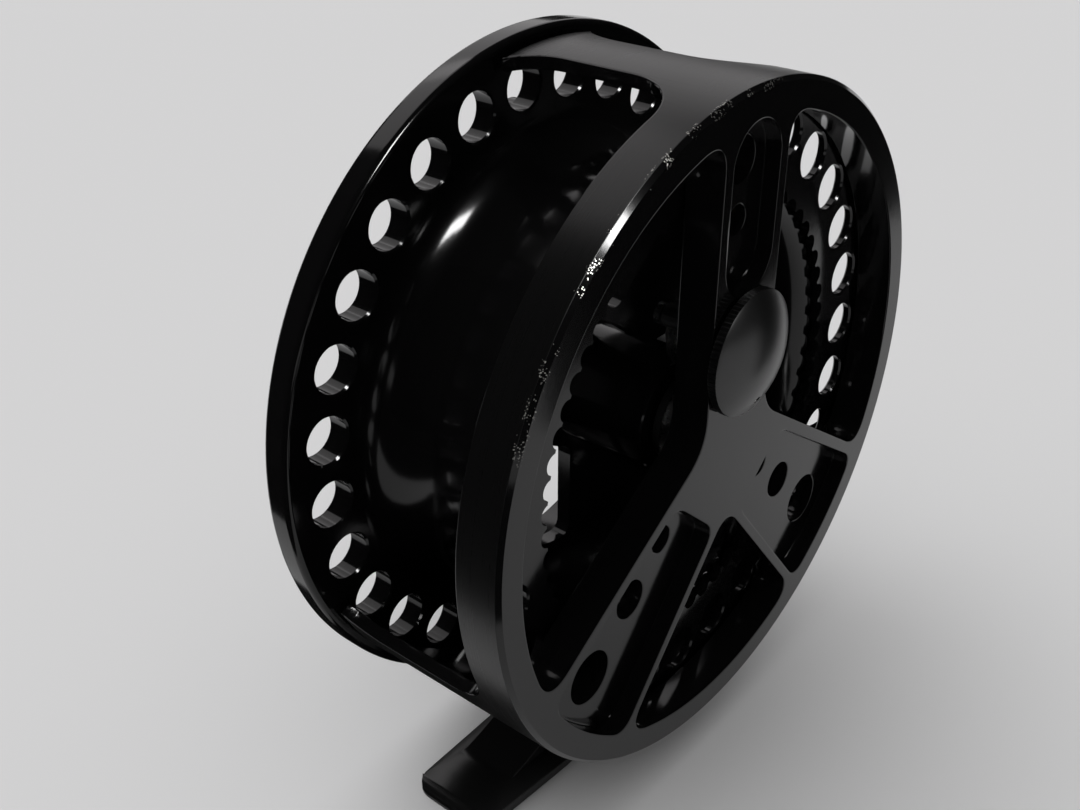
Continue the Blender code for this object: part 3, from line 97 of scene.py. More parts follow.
# Spool
HOLE_COUNT = 28
HOLE_RADIUS = 3.1 * MM
FRONT_HOLE_CIRCLE = 39.8 * MM
FRONT_HOLE_PHASE = math.radians(7.8)
REAR_HOLE_CIRCLE = 37.7 * MM
REAR_HOLE_PHASE = math.radians(13.3)
HOLE_CHAMFER = 0.25 * MM
REAR_FLANGE_RADIUS = 42.8 * MM
REAR_FLANGE_BACK = 5.6 * MM
REAR_FLANGE_FRONT = 6.9 * MM
RIM_RADIUS = 46.4 * MM
RIM_BACK = 31.5 * MM
RIM_FRONT = 35.4 * MM
RIM_ROUND = 0.8 * MM
RIM_LAND = 2.7 * MM
FLANGE_FACE = 34.8 * MM
FRONT_BEAD = 35.6 * MM
REAR_BEAD = 33.4 * MM
DRUM_BACK = 7.2 * MM
ARBOR_RADIUS = 28.8 * MM
ARBOR_WALL = 1.5 * MM
ARBOR_INSIDE = 27.3 * MM
FLARE_LENGTH = 9.0 * MM
TRACK_RADIUS = 30.4 * MM
SCALLOP_COUNT = 60
SCALLOP_RADIUS = 1.4 * MM
SCALLOP_BITE = 1.05 * MM
WEB_FRONT = 27.3 * MM
WEB_BACK = 25.1 * MM
RECESS_RADIUS = 29.8 * MM
SPOKE_COUNT = 4
SPOKE_ANGLE = math.radians(40.0)
SPOKE_EDGE_OFFSET = 1.7 * MM
WEB_WINDOW_INNER = 10.4 * MM
WEB_WINDOW_OUTER = 25.6 * MM
WEB_WINDOW_CORNER = 2.0 * MM
HUB_RADIUS = 8.2 * MM
HUB_BORE = 4.8 * MM
HUB_BACK = 8.8 * MM
HUB_FRONT = 28.5 * MM
HUB_BOSS = 9.2 * MM
CRANK_RADIUS = 33.2 * MM
STUD_BORE = 1.6 * MM
STUD_FLOOR = 32.9 * MM

# Small turned pieces
KNOB_RADIUS = 8.2 * MM
KNOB_BASE = -0.3 * MM
KNOB_TOP = -4.0 * MM
KNOB_DOME = 2.5 * MM
KNOB_RECESS = 6.8 * MM
KNOB_FLOOR = -1.2 * MM
KNURL_COUNT = 84
KNURL_DEPTH = 0.24 * MM
DIMPLE_OFFSET = 6.0 * MM
DIMPLE_RADIUS = 0.55 * MM
POST_RADIUS = 1.7 * MM
POST_FLANGE = 3.2 * MM
POST_BACK = 35.1 * MM
HANDLE_BACK = 36.3 * MM
HANDLE_FRONT = 55.3 * MM
HANDLE_NECK = 4.2 * MM
HANDLE_END = 6.2 * MM
HANDLE_BORE = 2.0 * MM
HANDLE_SINK = 3.1 * MM
SINK_FLOOR = 53.8 * MM
HANDLE_SCREW_HEAD = 2.8 * MM
STUD_RADIUS = 1.3 * MM
STUD_BACK = 33.2 * MM
WEIGHT_RADIUS = 3.2 * MM
WEIGHT_BACK = 35.1 * MM
WEIGHT_FRONT = 37.5 * MM
WEIGHT_SCREW_HEAD = 2.34 * MM
CAP_OUTER = 11.2 * MM
CAP_BORE = 9.8 * MM
CAP_BACK = 27.6 * MM
CAP_FRONT = 33.1 * MM
CAP_CEILING = 31.7 * MM
CAP_SCREW_OFFSET = 6.4 * MM
CAP_SCREW_RADIUS = 0.8 * MM
CAP_SCREW_HEAD = 1.5 * MM
CAP_SCREW_TIP = 26.2 * MM
LATCH_BACK = 28.8 * MM
LATCH_FRONT = 29.7 * MM
LATCH_TAB = 2.2 * MM
SPINDLE_RADIUS = 3.0 * MM
SPINDLE_GROOVE = 2.2 * MM
SPINDLE_FLANGE = 6.8 * MM
SPINDLE_SEAT = 5.5 * MM
SPINDLE_END = 31.2 * MM
WASHER_RADIUS = 6.0 * MM
WASHER_BACK = 7.3 * MM
WASHER_FRONT = 8.5 * MM

# Foot
FOOT_LENGTH = 69.0 * MM
FOOT_WIDTH = 14.4 * MM
FOOT_TIP_WIDTH = 13.0 * MM
FOOT_TIP_THICKNESS = 1.7 * MM
FOOT_TIP_ROUND = 3.0 * MM
FOOT_EDGE = 0.8 * MM
FOOT_BEVEL_TOP = 2.6 * MM
FOOT_STEM_WIDTH = 8.8 * MM
FOOT_SHOULDER = 3.4 * MM
FOOT_STEM_LENGTH = 27.0 * MM
FOOT_FOOTING = 35.0 * MM
FOOT_SADDLE = 45.3 * MM

# Broken edges, and how far from its start a bevel corner may lie, in bevel widths
CAGE_EDGE = 0.28 * MM
CAP_EDGE = 0.12 * MM
FOOT_BREAK = 0.15 * MM
STRAY_WIDTHS = 3
STRAY_PASSES = 4

# Facets of the turned pieces
FRAME_STEPS = 240
SPOOL_STEPS = 216
KNOB_STEPS = 504
SMALL_STEPS = 64

# Camera and stage
CAMERA_PLACE = (-121.7 * MM, -89.4 * MM, 136.7 * MM)
CAMERA_AZIMUTH = math.radians(-50.07)
CAMERA_ELEVATION = math.radians(30.12)
CAMERA_LENS = 42.7
SOFTBOX_TINT = (1, 0.975, 0.985)


# Modelling by hand


def ready():
    """Object mode with nothing selected."""
    if bpy.context.object and bpy.context.object.mode != "OBJECT":
        bpy.ops.object.mode_set(mode="OBJECT")
    bpy.ops.object.select_all(action="DESELECT")


def pick(piece):
    ready()
    piece.select_set(True)
    bpy.context.view_layer.objects.active = piece
    return piece


def trace(name, points, closed=True):
    """An edge loop drawn from one point to the next; it is left open in edit mode, all selected."""
    ready()
    bpy.ops.mesh.primitive_plane_add(size=MM, location=(0, 0, 0))
    piece = bpy.context.object
    piece.name = name
    bpy.ops.object.mode_set(mode="EDIT")
    bpy.ops.mesh.select_all(action="SELECT")
    bpy.ops.mesh.merge(type="CENTER")
    bpy.ops.transform.translate(value=points[0])
    for before, after in zip(points, points[1:]):
        step = tuple(b - a for a, b in zip(before, after))
        bpy.ops.mesh.extrude_vertices_move(TRANSFORM_OT_translate={"value": step})
    bpy.ops.mesh.select_all(action="SELECT")
    if closed:
        bpy.ops.mesh.select_all(action="DESELECT")
        bpy.ops.object.mode_set(mode="OBJECT")
        piece.data.vertices[0].select = True
        piece.data.vertices[len(points) - 1].select = True
        bpy.ops.object.mode_set(mode="EDIT")
        bpy.ops.mesh.edge_face_add()
        bpy.ops.mesh.select_all(action="SELECT")
    return piece


def tidy_faces():
    """Welds what meets and turns every face outwards, in edit mode."""
    bpy.ops.mesh.select_all(action="SELECT")
    bpy.ops.mesh.remove_doubles(threshold=1e-6)
    bpy.ops.mesh.normals_make_consistent(inside=False)
    bpy.ops.object.mode_set(mode="OBJECT")


def turned(name, profile, steps, x=0.0, height=0.0, closed=True):
    """A lathe shape: (radius, depth) points spun round a line along the axle at (x, height)."""
    points = [(x + radius, BACK + depth, AXLE + height) for radius, depth in profile]
    piece = trace(name, points, closed)
    bpy.ops.mesh.spin(steps=steps, angle=2 * math.pi, center=(x, 0, AXLE + height), axis=(0, 1, 0))
    tidy_faces()
    return piece


def prism(name, outline, back, front):
    """A block with this (x, height) outline between two depths."""
    points = [(x, BACK + back, AXLE + height) for x, height in outline]
    piece = trace(name, points)
    bpy.ops.mesh.edge_face_add()
    bpy.ops.mesh.extrude_region_move(TRANSFORM_OT_translate={"value": (0, front - back, 0)})
    tidy_faces()
    return piece


def drill(name, x, height, radius, back, front, steps=SMALL_STEPS):
    """A round cutter along the axle."""
    ready()
    bpy.ops.mesh.primitive_cylinder_add(
        vertices=steps,
        radius=radius,
        depth=front - back,
        location=(x, BACK + (back + front) / 2, AXLE + height),
        rotation=(math.pi / 2, 0, 0),
    )
    piece = bpy.context.object
    piece.name = name
    bpy.ops.object.transform_apply(location=True, rotation=True, scale=True)
    return piece


def joined(pieces):
    """Several pieces made one mesh."""
    ready()
    for piece in pieces:
        piece.select_set(True)
    bpy.context.view_layer.objects.active = pieces[0]
    bpy.ops.object.join()
    return bpy.context.object


def copies_round(piece, count):
    """Copies of a cutter spaced evenly round the axle, made one mesh with it."""
    made = [piece]
    for i in range(1, count):
        pick(piece)
        bpy.ops.object.duplicate()
        copy = bpy.context.object
        turn = 2 * math.pi * i / count
        bpy.ops.transform.rotate(value=turn, orient_axis="Y", center_override=(0, 0, AXLE))
        bpy.ops.object.transform_apply(location=True, rotation=True, scale=True)
        made.append(copy)
    return joined(made)


def boolean(piece, other, operation="DIFFERENCE"):
    """Cuts or joins two meshes and removes the second."""
    pick(piece)
    change = piece.modifiers.new("shape", "BOOLEAN")
    change.operation = operation
    change.solver = "EXACT"
    change.object = other
    bpy.ops.object.modifier_apply(modifier=change.name)
    bpy.data.objects.remove(other)
    return piece


def corner_tree(piece):
    """The piece's corners, for finding the nearest to a place."""
    vertices = piece.data.vertices
    tree = KDTree(len(vertices))
    for vertex in vertices:
        tree.insert(vertex.co, vertex.index)
    tree.balance()
    return tree


def recall_strays(piece, corners, reach):
    """Draws corners that a bevel threw far from where they began back among their neighbours."""
    vertices = piece.data.vertices
    for _ in range(STRAY_PASSES):
        near = {vertex.index: [] for vertex in vertices if corners.find(vertex.co)[2] > reach}
        for edge in piece.data.edges:
            start, end = edge.vertices
            for one, other in ((start, end), (end, start)):
                if one in near and other not in near:
                    near[one].append(vertices[other].co.copy())
        for index, places in near.items():
            if places:
                vertices[index].co = [sum(part) / len(places) for part in zip(*places)]


def broken_edges(piece, width, segments=2, corner=50.0):
    """Breaks the sharp edges with a small bevel and shades the rest smooth."""
    pick(piece)
    bpy.ops.object.mode_set(mode="EDIT")
    bpy.ops.mesh.select_all(action="SELECT")
    bpy.ops.mesh.dissolve_limited(angle_limit=math.radians(0.4))
    bpy.ops.mesh.remove_doubles(threshold=0.02 * MM)
    bpy.ops.object.mode_set(mode="OBJECT")
    corners = corner_tree(piece)
    bevel = piece.modifiers.new("edges", "BEVEL")
    bevel.width = width
    bevel.segments = segments
    bevel.limit_method = "ANGLE"
    bevel.angle_limit = math.radians(corner)
    bevel.use_clamp_overlap = False
    bevel.miter_outer = "MITER_ARC"
    bpy.ops.object.modifier_apply(modifier=bevel.name)
    recall_strays(piece, corners, STRAY_WIDTHS * width)
    return even_normals(smoothed(piece))


def even_normals(piece):
    """Keeps large flat faces flat in the shading beside small rounded edges."""
    pick(piece)
    even = piece.modifiers.new("normals", "WEIGHTED_NORMAL")
    even.mode = "FACE_AREA"
    even.weight = 80
    even.keep_sharp = True
    bpy.ops.object.modifier_apply(modifier=even.name)
    return piece


def smoothed(piece, corner=32.0):
    pick(piece)
    bpy.ops.object.shade_smooth_by_angle(angle=math.radians(corner))
    return piece


# Outlines seen from the back: x to the right, height above the axle


def polar(radius, angle):
    """A point at this radius, with the angle clockwise from straight up."""
    return (radius * math.sin(angle), radius * math.cos(angle))


def clock(point):
    return math.atan2(point[0], point[1])


def arc(radius, start, end, steps):
    return [polar(radius, start + (end - start) * i / steps) for i in range(steps + 1)]


def along(point, direction, distance):
    return (point[0] + direction[0] * distance, point[1] + direction[1] * distance)


def toward(start, end, distance):
    length = math.hypot(end[0] - start[0], end[1] - start[1])
    return along(start, ((end[0] - start[0]) / length, (end[1] - start[1]) / length), distance)


def meet(point_a, direction_a, point_b, direction_b):
    cross = direction_a[0] * direction_b[1] - direction_a[1] * direction_b[0]
    dx = point_b[0] - point_a[0]
    dy = point_b[1] - point_a[1]
    return along(point_a, direction_a, (dx * direction_b[1] - dy * direction_b[0]) / cross)


def ring_hit(point, direction, radius):
    """Where a line from inside a circle round the axle leaves it."""
    forward = point[0] * direction[0] + point[1] * direction[1]
    inside = radius**2 - point[0] ** 2 - point[1] ** 2
    return along(point, direction, -forward + math.sqrt(forward**2 + inside))


def soft_corner(before, corner, after, steps=10):
    points = []
    for i in range(steps + 1):
        t = i / steps
        near, middle, far = (1 - t) ** 2, 2 * t * (1 - t), t**2
        points.append(tuple(near * a + middle * b + far * c for a, b, c in zip(before, corner, after)))
    return points


def ring_corner(inside, corner, radius, turn, reach):
    return soft_corner(
        toward(corner, inside, reach), corner, polar(radius, clock(corner) + turn * reach / radius)
    )


def mirrored(outline):
    return [(-x, y) for x, y in reversed(outline)]


def arm_window(apex, hit_start, hit_end, steps):
    """An opening between two arms, rounded where they meet and where they join the ring."""
    start, end = clock(hit_start), clock(hit_end)
    if end < start:
        end += 2 * math.pi
    shift = ARM_CORNER / RING_INNER_RADIUS
    first = ring_corner(apex, hit_start, RING_INNER_RADIUS, 1, ARM_CORNER)
    last = ring_corner(apex, hit_end, RING_INNER_RADIUS, -1, ARM_CORNER)
    inner = soft_corner(toward(apex, hit_end, ARM_CORNER), apex, toward(apex, hit_start, ARM_CORNER))
    middle = arc(RING_INNER_RADIUS, start + shift, end - shift, steps)
    return first + middle[1:-1] + last[::-1] + inner


UPPER_POINT = (ARM_HUB_WIDTH, -ARM_HUB_DROP)
UPPER_EDGE = polar(1, ARM_UPPER_ANGLE)
LOWER_POINT = (0, -BOTTOM_APEX)
LOWER_EDGE = polar(1, ARM_LOWER_ANGLE)


def side_opening():
    edge = TOP_ARM_WIDTH / 2
    apex = meet((edge, 0), (0, 1), UPPER_POINT, UPPER_EDGE)
    top = ring_hit(apex, (0, 1), RING_INNER_RADIUS)
    low = ring_hit(apex, UPPER_EDGE, RING_INNER_RADIUS)
    return arm_window(apex, top, low, 60)


def bottom_opening():
    right = ring_hit(LOWER_POINT, LOWER_EDGE, RING_INNER_RADIUS)
    return arm_window(LOWER_POINT, right, (-right[0], right[1]), 40)


def arm_pocket():
    """The recess in a lower arm, inside both edges by a rib and out to the ring."""
    upper = along(UPPER_POINT, (UPPER_EDGE[1], -UPPER_EDGE[0]), POCKET_UPPER_RIB)
    lower = along(LOWER_POINT, (-LOWER_EDGE[1], LOWER_EDGE[0]), POCKET_LOWER_RIB)
    reach = POCKET_CORNER
    corners = [
        ring_hit(lower, LOWER_EDGE, RING_INNER_RADIUS),
        ring_hit(lower, LOWER_EDGE, POCKET_INNER_RADIUS + reach),
        ring_hit(upper, UPPER_EDGE, POCKET_INNER_RADIUS + reach),
        ring_hit(upper, UPPER_EDGE, RING_INNER_RADIUS),
    ]
    outline = []
    for before, corner, after in ((0, 1, 2), (1, 2, 3)):
        outline += soft_corner(
            toward(corners[corner], corners[before], reach),
            corners[corner],
            toward(corners[corner], corners[after], reach),
        )
    shift = reach / RING_INNER_RADIUS
    first = ring_corner(corners[2], corners[3], RING_INNER_RADIUS, 1, reach)
    last = ring_corner(corners[1], corners[0], RING_INNER_RADIUS, -1, reach)
    span = arc(RING_INNER_RADIUS, clock(corners[3]) + shift, clock(corners[0]) - shift, 12)
    return outline + first + span[1:-1] + last[::-1]


def slot_outline():
    radius = SLOT_WIDTH / 2
    turns = [math.pi * i / 24 for i in range(25)]
    top = [(radius * math.cos(t), SLOT_OUTER_END - radius + radius * math.sin(t)) for t in turns]
    low = [(-radius * math.cos(t), SLOT_INNER_END + radius - radius * math.sin(t)) for t in turns]
    return top + low


# Frame cage


def fillet(distance, radius):
    if distance >= radius:
        return 0.0
    return radius - math.sqrt(max(radius**2 - (radius - distance) ** 2, 0.0))


def cage_window(side):
    """Cutter of one side window: a grid bent round the cage wall and thickened."""
    ready()
    bpy.ops.mesh.primitive_grid_add(x_subdivisions=110, y_subdivisions=48, size=1)
    piece = bpy.context.object
    radius = RING_RADIUS - CAGE_WALL / 2
    front_edge = CAGE_DEPTH + WINDOW_FRONT_RUNOUT
    start = TOP_BRIDGE_WAIST / 2 / RING_RADIUS
    end = math.pi - BOTTOM_BRIDGE_ANGLE / 2
    for vertex in piece.data.vertices:
        row = (1 - math.cos(math.pi * (vertex.co.y + 0.5))) / 2
        depth = BAND_DEPTH + row * (front_edge - BAND_DEPTH)
        inset = fillet(depth - BAND_DEPTH, WINDOW_BACK_FILLET)
        inset += fillet(front_edge - depth, WINDOW_FRONT_FILLET)
        first, last = start + inset / RING_RADIUS, end - inset / RING_RADIUS
        x, height = polar(radius, first + (last - first) * (vertex.co.x + 0.5))
        vertex.co = (side * x, BACK + depth, AXLE + height)
    wall = piece.modifiers.new("wall", "SOLIDIFY")
    wall.thickness = 4 * CAGE_WALL
    wall.offset = 0
    pick(piece)
    bpy.ops.object.modifier_apply(modifier=wall.name)
    bpy.ops.object.mode_set(mode="EDIT")
    tidy_faces()
    return piece


def frame_cage():
    inside = RING_RADIUS - CAGE_WALL
    profile = [
        (0, 0),
        (RING_RADIUS - RING_CHAMFER, 0),
        (RING_RADIUS, RING_CHAMFER),
        (RING_RADIUS, CAGE_DEPTH),
        (inside, CAGE_DEPTH),
        (inside, PLATE),
        (0, PLATE),
    ]
    cage = turned("frame_cage_machined", profile, FRAME_STEPS, closed=False)
    opening = side_opening()
    pocket = arm_pocket()
    past = 6 * MM
    openings = [opening, mirrored(opening), bottom_opening()]
    boolean(cage, joined([prism("opening", outline, -past, PLATE + past) for outline in openings]))
    pockets = [(pocket, POCKET_DEPTH), (mirrored(pocket), POCKET_DEPTH), (slot_outline(), SLOT_DEPTH)]
    boolean(cage, joined([prism("pocket", outline, -past, floor) for outline, floor in pockets]))
    bores = []
    for side in (-1, 1):
        for radius, size in ARM_HOLES:
            x, height = polar(radius, side * ARM_HOLE_ANGLE)
            bores.append(drill("bore", x, height, size, 0, PLATE + past))
    for height, size in TOP_HOLES:
        bores.append(drill("bore", 0, height, size, 0, PLATE + past))
    bores.append(drill("bore", 0, PAWL_HEIGHT, PAWL_BORE, PAWL_FLOOR, PLATE + past))
    bores.append(drill("bore", 0, REGULATOR_HEIGHT, REGULATOR_BORE, -past, PLATE + past))
    bores.append(drill("bore", 0, 0, SPIGOT_BORE, SPIGOT_FLOOR, PLATE + past))
    boolean(cage, joined(bores))
    boolean(cage, cage_window(1))
    boolean(cage, cage_window(-1))
    return broken_edges(cage, CAGE_EDGE)


# Spool


def quarter(centre, radius, start, steps=6):
    """Points of a quarter round in the (radius, depth) plane, from an angle counted in quarter turns."""
    points = []
    for i in range(steps + 1):
        turn = math.pi / 2 * (start + i / steps)
        points.append((centre[0] + radius * math.cos(turn), centre[1] + radius * math.sin(turn)))
    return points


def flare(start, end, bead):
    """The sweep from a flange's bead down to the arbor drum."""
    points = []
    steps = 18
    for i in range(steps + 1):
        turn = math.pi / 2 * i / steps
        radius = ARBOR_RADIUS + (bead - ARBOR_RADIUS) * (1 - math.sin(turn))
        points.append((radius, start + (end - start) * (1 - math.cos(turn))))
    return points


def spool_profile():
    edge = 0.2 * MM
    step = RIM_FRONT - FLANGE_FACE
    rear = flare(DRUM_BACK, DRUM_BACK + FLARE_LENGTH, REAR_BEAD)
    inside = [(radius - ARBOR_WALL, depth) for radius, depth in rear]
    front = flare(RIM_BACK, RIM_BACK - FLARE_LENGTH, FRONT_BEAD)
    rim_low = quarter((RIM_RADIUS - RIM_ROUND, RIM_BACK + RIM_ROUND), RIM_ROUND, -1)
    rim_top = quarter((RIM_RADIUS - RIM_ROUND, RIM_FRONT - RIM_ROUND), RIM_ROUND, 0)
    return [
        *rear,
        *front[::-1],
        *rim_low,
        *rim_top,
        (RIM_RADIUS - RIM_LAND, RIM_FRONT),
        (RIM_RADIUS - RIM_LAND - step, FLANGE_FACE),
        (RECESS_RADIUS + edge, FLANGE_FACE),
        (RECESS_RADIUS - edge / 2, FLANGE_FACE - edge),
        (ARBOR_INSIDE, WEB_FRONT),
        (HUB_BOSS, WEB_FRONT),
        (HUB_BOSS, HUB_FRONT - edge),
        (HUB_BOSS - edge, HUB_FRONT),
        (HUB_BORE, HUB_FRONT),
        (HUB_BORE, HUB_BACK),
        (HUB_RADIUS - edge, HUB_BACK),
        (HUB_RADIUS, HUB_BACK + edge),
        (HUB_RADIUS, WEB_BACK),
        (ARBOR_INSIDE, WEB_BACK),
        *inside[::-1],
    ]


def flange_hole(circle, phase, back, front):
    """Cutter of one hole through a flange, opened out a little at each face."""
    wide = HOLE_RADIUS + 2 * HOLE_CHAMFER
    past = 2 * MM
    profile = [
        (0, back - past),
        (wide, back - past),
        (wide, back - HOLE_CHAMFER),
        (HOLE_RADIUS, back + HOLE_CHAMFER),
        (HOLE_RADIUS, front - HOLE_CHAMFER),
        (wide, front + HOLE_CHAMFER),
        (wide, front + past),
        (0, front + past),
    ]
    x, height = polar(circle, phase)
    return turned("flange_hole", profile, 40, x, height, closed=False)


def web_window():
    """Cutter of one opening between two spokes of the front web."""
    low, high, reach = WEB_WINDOW_INNER, WEB_WINDOW_OUTER, WEB_WINDOW_CORNER
    inner = math.asin(SPOKE_EDGE_OFFSET / low)
    outer = math.asin(SPOKE_EDGE_OFFSET / high)
    end = 2 * math.pi / SPOKE_COUNT - SPOKE_ANGLE
    low_a, low_b = polar(low, inner), polar(low, end)
    high_a, high_b = polar(high, outer), polar(high, end)
    outline = ring_corner(low_a, high_a, high, 1, reach)
    outline += arc(high, outer + reach / high, end - reach / high, 20)[1:-1]
    outline += ring_corner(low_b, high_b, high, -1, reach)[::-1]
    outline += ring_corner(high_b, low_b, low, -1, reach)
    outline += arc(low, end - reach / low, inner + reach / low, 10)[1:-1]
    outline += ring_corner(high_a, low_a, low, 1, reach)[::-1]
    return prism("web_window", outline, HUB_BACK + 8 * MM, RIM_FRONT + 5 * MM)


def rear_flange():
    """The thin ring behind the drum, with the click track in its inner edge."""
    edge = 0.2 * MM
    profile = [
        (TRACK_RADIUS, REAR_FLANGE_BACK),
        *quarter((REAR_FLANGE_RADIUS - edge, REAR_FLANGE_BACK + edge), edge, -1, 3),
        *quarter((REAR_FLANGE_RADIUS - edge, REAR_FLANGE_FRONT - edge), edge, 0, 3),
        (TRACK_RADIUS, REAR_FLANGE_FRONT),
    ]
    ring = turned("rear_flange_machined", profile, SPOOL_STEPS)
    hole = flange_hole(REAR_HOLE_CIRCLE, REAR_HOLE_PHASE, REAR_FLANGE_BACK, REAR_FLANGE_FRONT)
    boolean(ring, copies_round(hole, HOLE_COUNT))
    centre = TRACK_RADIUS + SCALLOP_BITE - SCALLOP_RADIUS
    x, height = polar(centre, math.pi / SCALLOP_COUNT)
    bite = drill("scallop", x, height, SCALLOP_RADIUS, 0, REAR_FLANGE_FRONT + MM, 32)
    boolean(ring, copies_round(bite, SCALLOP_COUNT))
    return even_normals(smoothed(ring))


def spool():
    body = turned("spool_machined", spool_profile(), SPOOL_STEPS)
    hole = flange_hole(FRONT_HOLE_CIRCLE, FRONT_HOLE_PHASE, RIM_BACK, FLANGE_FACE)
    boolean(body, copies_round(hole, HOLE_COUNT))
    boolean(body, copies_round(web_window(), SPOKE_COUNT))
    past = RIM_FRONT + 5 * MM
    heights = (-CRANK_RADIUS, CRANK_RADIUS)
    studs = [drill("stud_bore", 0, height, STUD_BORE, STUD_FLOOR, past) for height in heights]
    boolean(body, joined(studs))
    return even_normals(smoothed(body))


# Regulator knob


def dome_drop(radius):
    """How far the knob's ball-shaped top has fallen away at this radius."""
    ball = (KNOB_RADIUS**2 + KNOB_DOME**2) / (2 * KNOB_DOME)
    return ball - math.sqrt(ball**2 - radius**2)


def regulator_knob():
    edge = KNOB_TOP + KNOB_DOME
    steps = 24
    domed = KNOB_RADIUS - 0.2 * MM
    profile = [(domed * i / steps, KNOB_TOP + dome_drop(domed * i / steps)) for i in range(steps + 1)]
    profile += [
        (KNOB_RADIUS - 0.06 * MM, edge - 0.02 * MM),
        (KNOB_RADIUS, edge + 0.12 * MM),
        (KNOB_RADIUS, KNOB_BASE - 0.2 * MM),
        (KNOB_RADIUS - 0.2 * MM, KNOB_BASE),
        (KNOB_RECESS, KNOB_BASE),
        (KNOB_RECESS, KNOB_FLOOR),
        (0, KNOB_FLOOR),
    ]
    knob = turned("regulator_knob_turned", profile, KNOB_STEPS, 0, REGULATOR_HEIGHT, closed=False)
    for vertex in knob.data.vertices:
        depth = vertex.co.y - BACK
        x, height = vertex.co.x, vertex.co.z - AXLE - REGULATOR_HEIGHT
        radius = math.hypot(x, height)
        if depth > edge + 0.1 * MM and radius > KNOB_RADIUS - 0.1 * MM:
            wave = 0.5 - 0.5 * math.cos(KNURL_COUNT * math.atan2(x, height))
            cut = KNURL_DEPTH * wave / radius
            vertex.co.x -= x * cut
            vertex.co.z -= height * cut
    ready()
    bpy.ops.mesh.primitive_uv_sphere_add(
        segments=24,
        ring_count=12,
        radius=DIMPLE_RADIUS,
        location=(0, BACK + KNOB_TOP + dome_drop(DIMPLE_OFFSET), AXLE + REGULATOR_HEIGHT - DIMPLE_OFFSET),
    )
    dimple = bpy.context.object
    bpy.ops.object.transform_apply(location=True, rotation=True, scale=True)
    boolean(knob, dimple)
    return smoothed(knob, 40)


# Small turned pieces


def rounded_end(radius, face, inward, edge):
    """Points that break the edge between a side and an end face of a turned piece."""
    side = (radius, face + inward * edge)
    corner = (radius - 0.3 * edge, face + inward * 0.3 * edge)
    return [side, corner, (radius - edge, face)]


def slotted(screw, x, height, radius, face, depth):
    """Cuts a screwdriver slot across a screw's head."""
    ready()
    width = 0.28 * radius
    bpy.ops.mesh.primitive_cube_add(size=1, location=(x, BACK + face, AXLE + height))
    cutter = bpy.context.object
    cutter.scale = (3 * radius, 2 * depth, width)
    bpy.ops.object.transform_apply(location=True, rotation=True, scale=True)
    boolean(screw, cutter)
    return smoothed(screw)


def handle_knob():
    """A waisted grip that swells towards its free end."""
    length = HANDLE_FRONT - HANDLE_BACK
    edge = 0.35 * MM
    profile = [(HANDLE_BORE, HANDLE_BACK), *rounded_end(HANDLE_NECK, HANDLE_BACK, 1, edge)[::-1]]
    steps = 40
    for i in range(steps + 1):
        share = i / steps
        swell = HANDLE_NECK + (HANDLE_END - HANDLE_NECK) * share**1.6
        profile.append((swell, HANDLE_BACK + length * (0.06 + 0.82 * share)))
    crown = (HANDLE_END, HANDLE_FRONT)
    last = (HANDLE_END - POST_RADIUS / 2, HANDLE_FRONT)
    profile += soft_corner(profile[-1], crown, last, 12)[1:]
    profile += [
        (HANDLE_SINK + 0.2 * MM, HANDLE_FRONT),
        (HANDLE_SINK, HANDLE_FRONT - 0.2 * MM),
        (HANDLE_SINK, SINK_FLOOR),
        (HANDLE_BORE, SINK_FLOOR),
    ]
    return smoothed(turned("handle_knob_turned", profile, SMALL_STEPS, 0, -CRANK_RADIUS))


def handle_post():
    profile = [
        (0, STUD_BACK),
        (STUD_RADIUS, STUD_BACK),
        (STUD_RADIUS, POST_BACK),
        (POST_FLANGE, POST_BACK),
        *rounded_end(POST_FLANGE, POST_BACK + 0.9 * MM, -1, 0.2 * MM),
        (POST_RADIUS, POST_BACK + 0.9 * MM),
        (POST_RADIUS, SINK_FLOOR),
        (0, SINK_FLOOR),
    ]
    return smoothed(turned("handle_post_turned", profile, SMALL_STEPS, 0, -CRANK_RADIUS, closed=False))


def handle_screw():
    head_back = SINK_FLOOR + PLAY
    profile = [
        (0, head_back),
        (HANDLE_SCREW_HEAD, head_back),
        *rounded_end(HANDLE_SCREW_HEAD, HANDLE_FRONT, -1, 0.3 * MM),
        (0, HANDLE_FRONT),
    ]
    screw = turned("handle_screw_turned", profile, SMALL_STEPS, 0, -CRANK_RADIUS, closed=False)
    return slotted(screw, 0, -CRANK_RADIUS, HANDLE_SCREW_HEAD, HANDLE_FRONT, 0.5 * MM)


def counterweight():
    profile = [
        (STUD_BORE, WEIGHT_BACK),
        (WEIGHT_RADIUS, WEIGHT_BACK),
        *soft_corner(
            (WEIGHT_RADIUS, WEIGHT_FRONT - 0.65 * MM),
            (WEIGHT_RADIUS, WEIGHT_FRONT),
            (WEIGHT_RADIUS - 0.65 * MM, WEIGHT_FRONT),
        ),
        (STUD_BORE, WEIGHT_FRONT),
    ]
    return smoothed(turned("counterweight_turned", profile, SMALL_STEPS, 0, CRANK_RADIUS))


def counterweight_screw():
    head_back = WEIGHT_FRONT + PLAY
    head_front = head_back + STUD_RADIUS / 2
    profile = [
        (0, STUD_BACK),
        (STUD_RADIUS, STUD_BACK),
        (STUD_RADIUS, head_back),
        (WEIGHT_SCREW_HEAD, head_back),
        *rounded_end(WEIGHT_SCREW_HEAD, head_front, -1, 0.3 * MM),
        (0, head_front),
    ]
    screw = turned("counterweight_screw_turned", profile, SMALL_STEPS, 0, CRANK_RADIUS, closed=False)
    return slotted(screw, 0, CRANK_RADIUS, WEIGHT_SCREW_HEAD, head_front, 0.35 * MM)


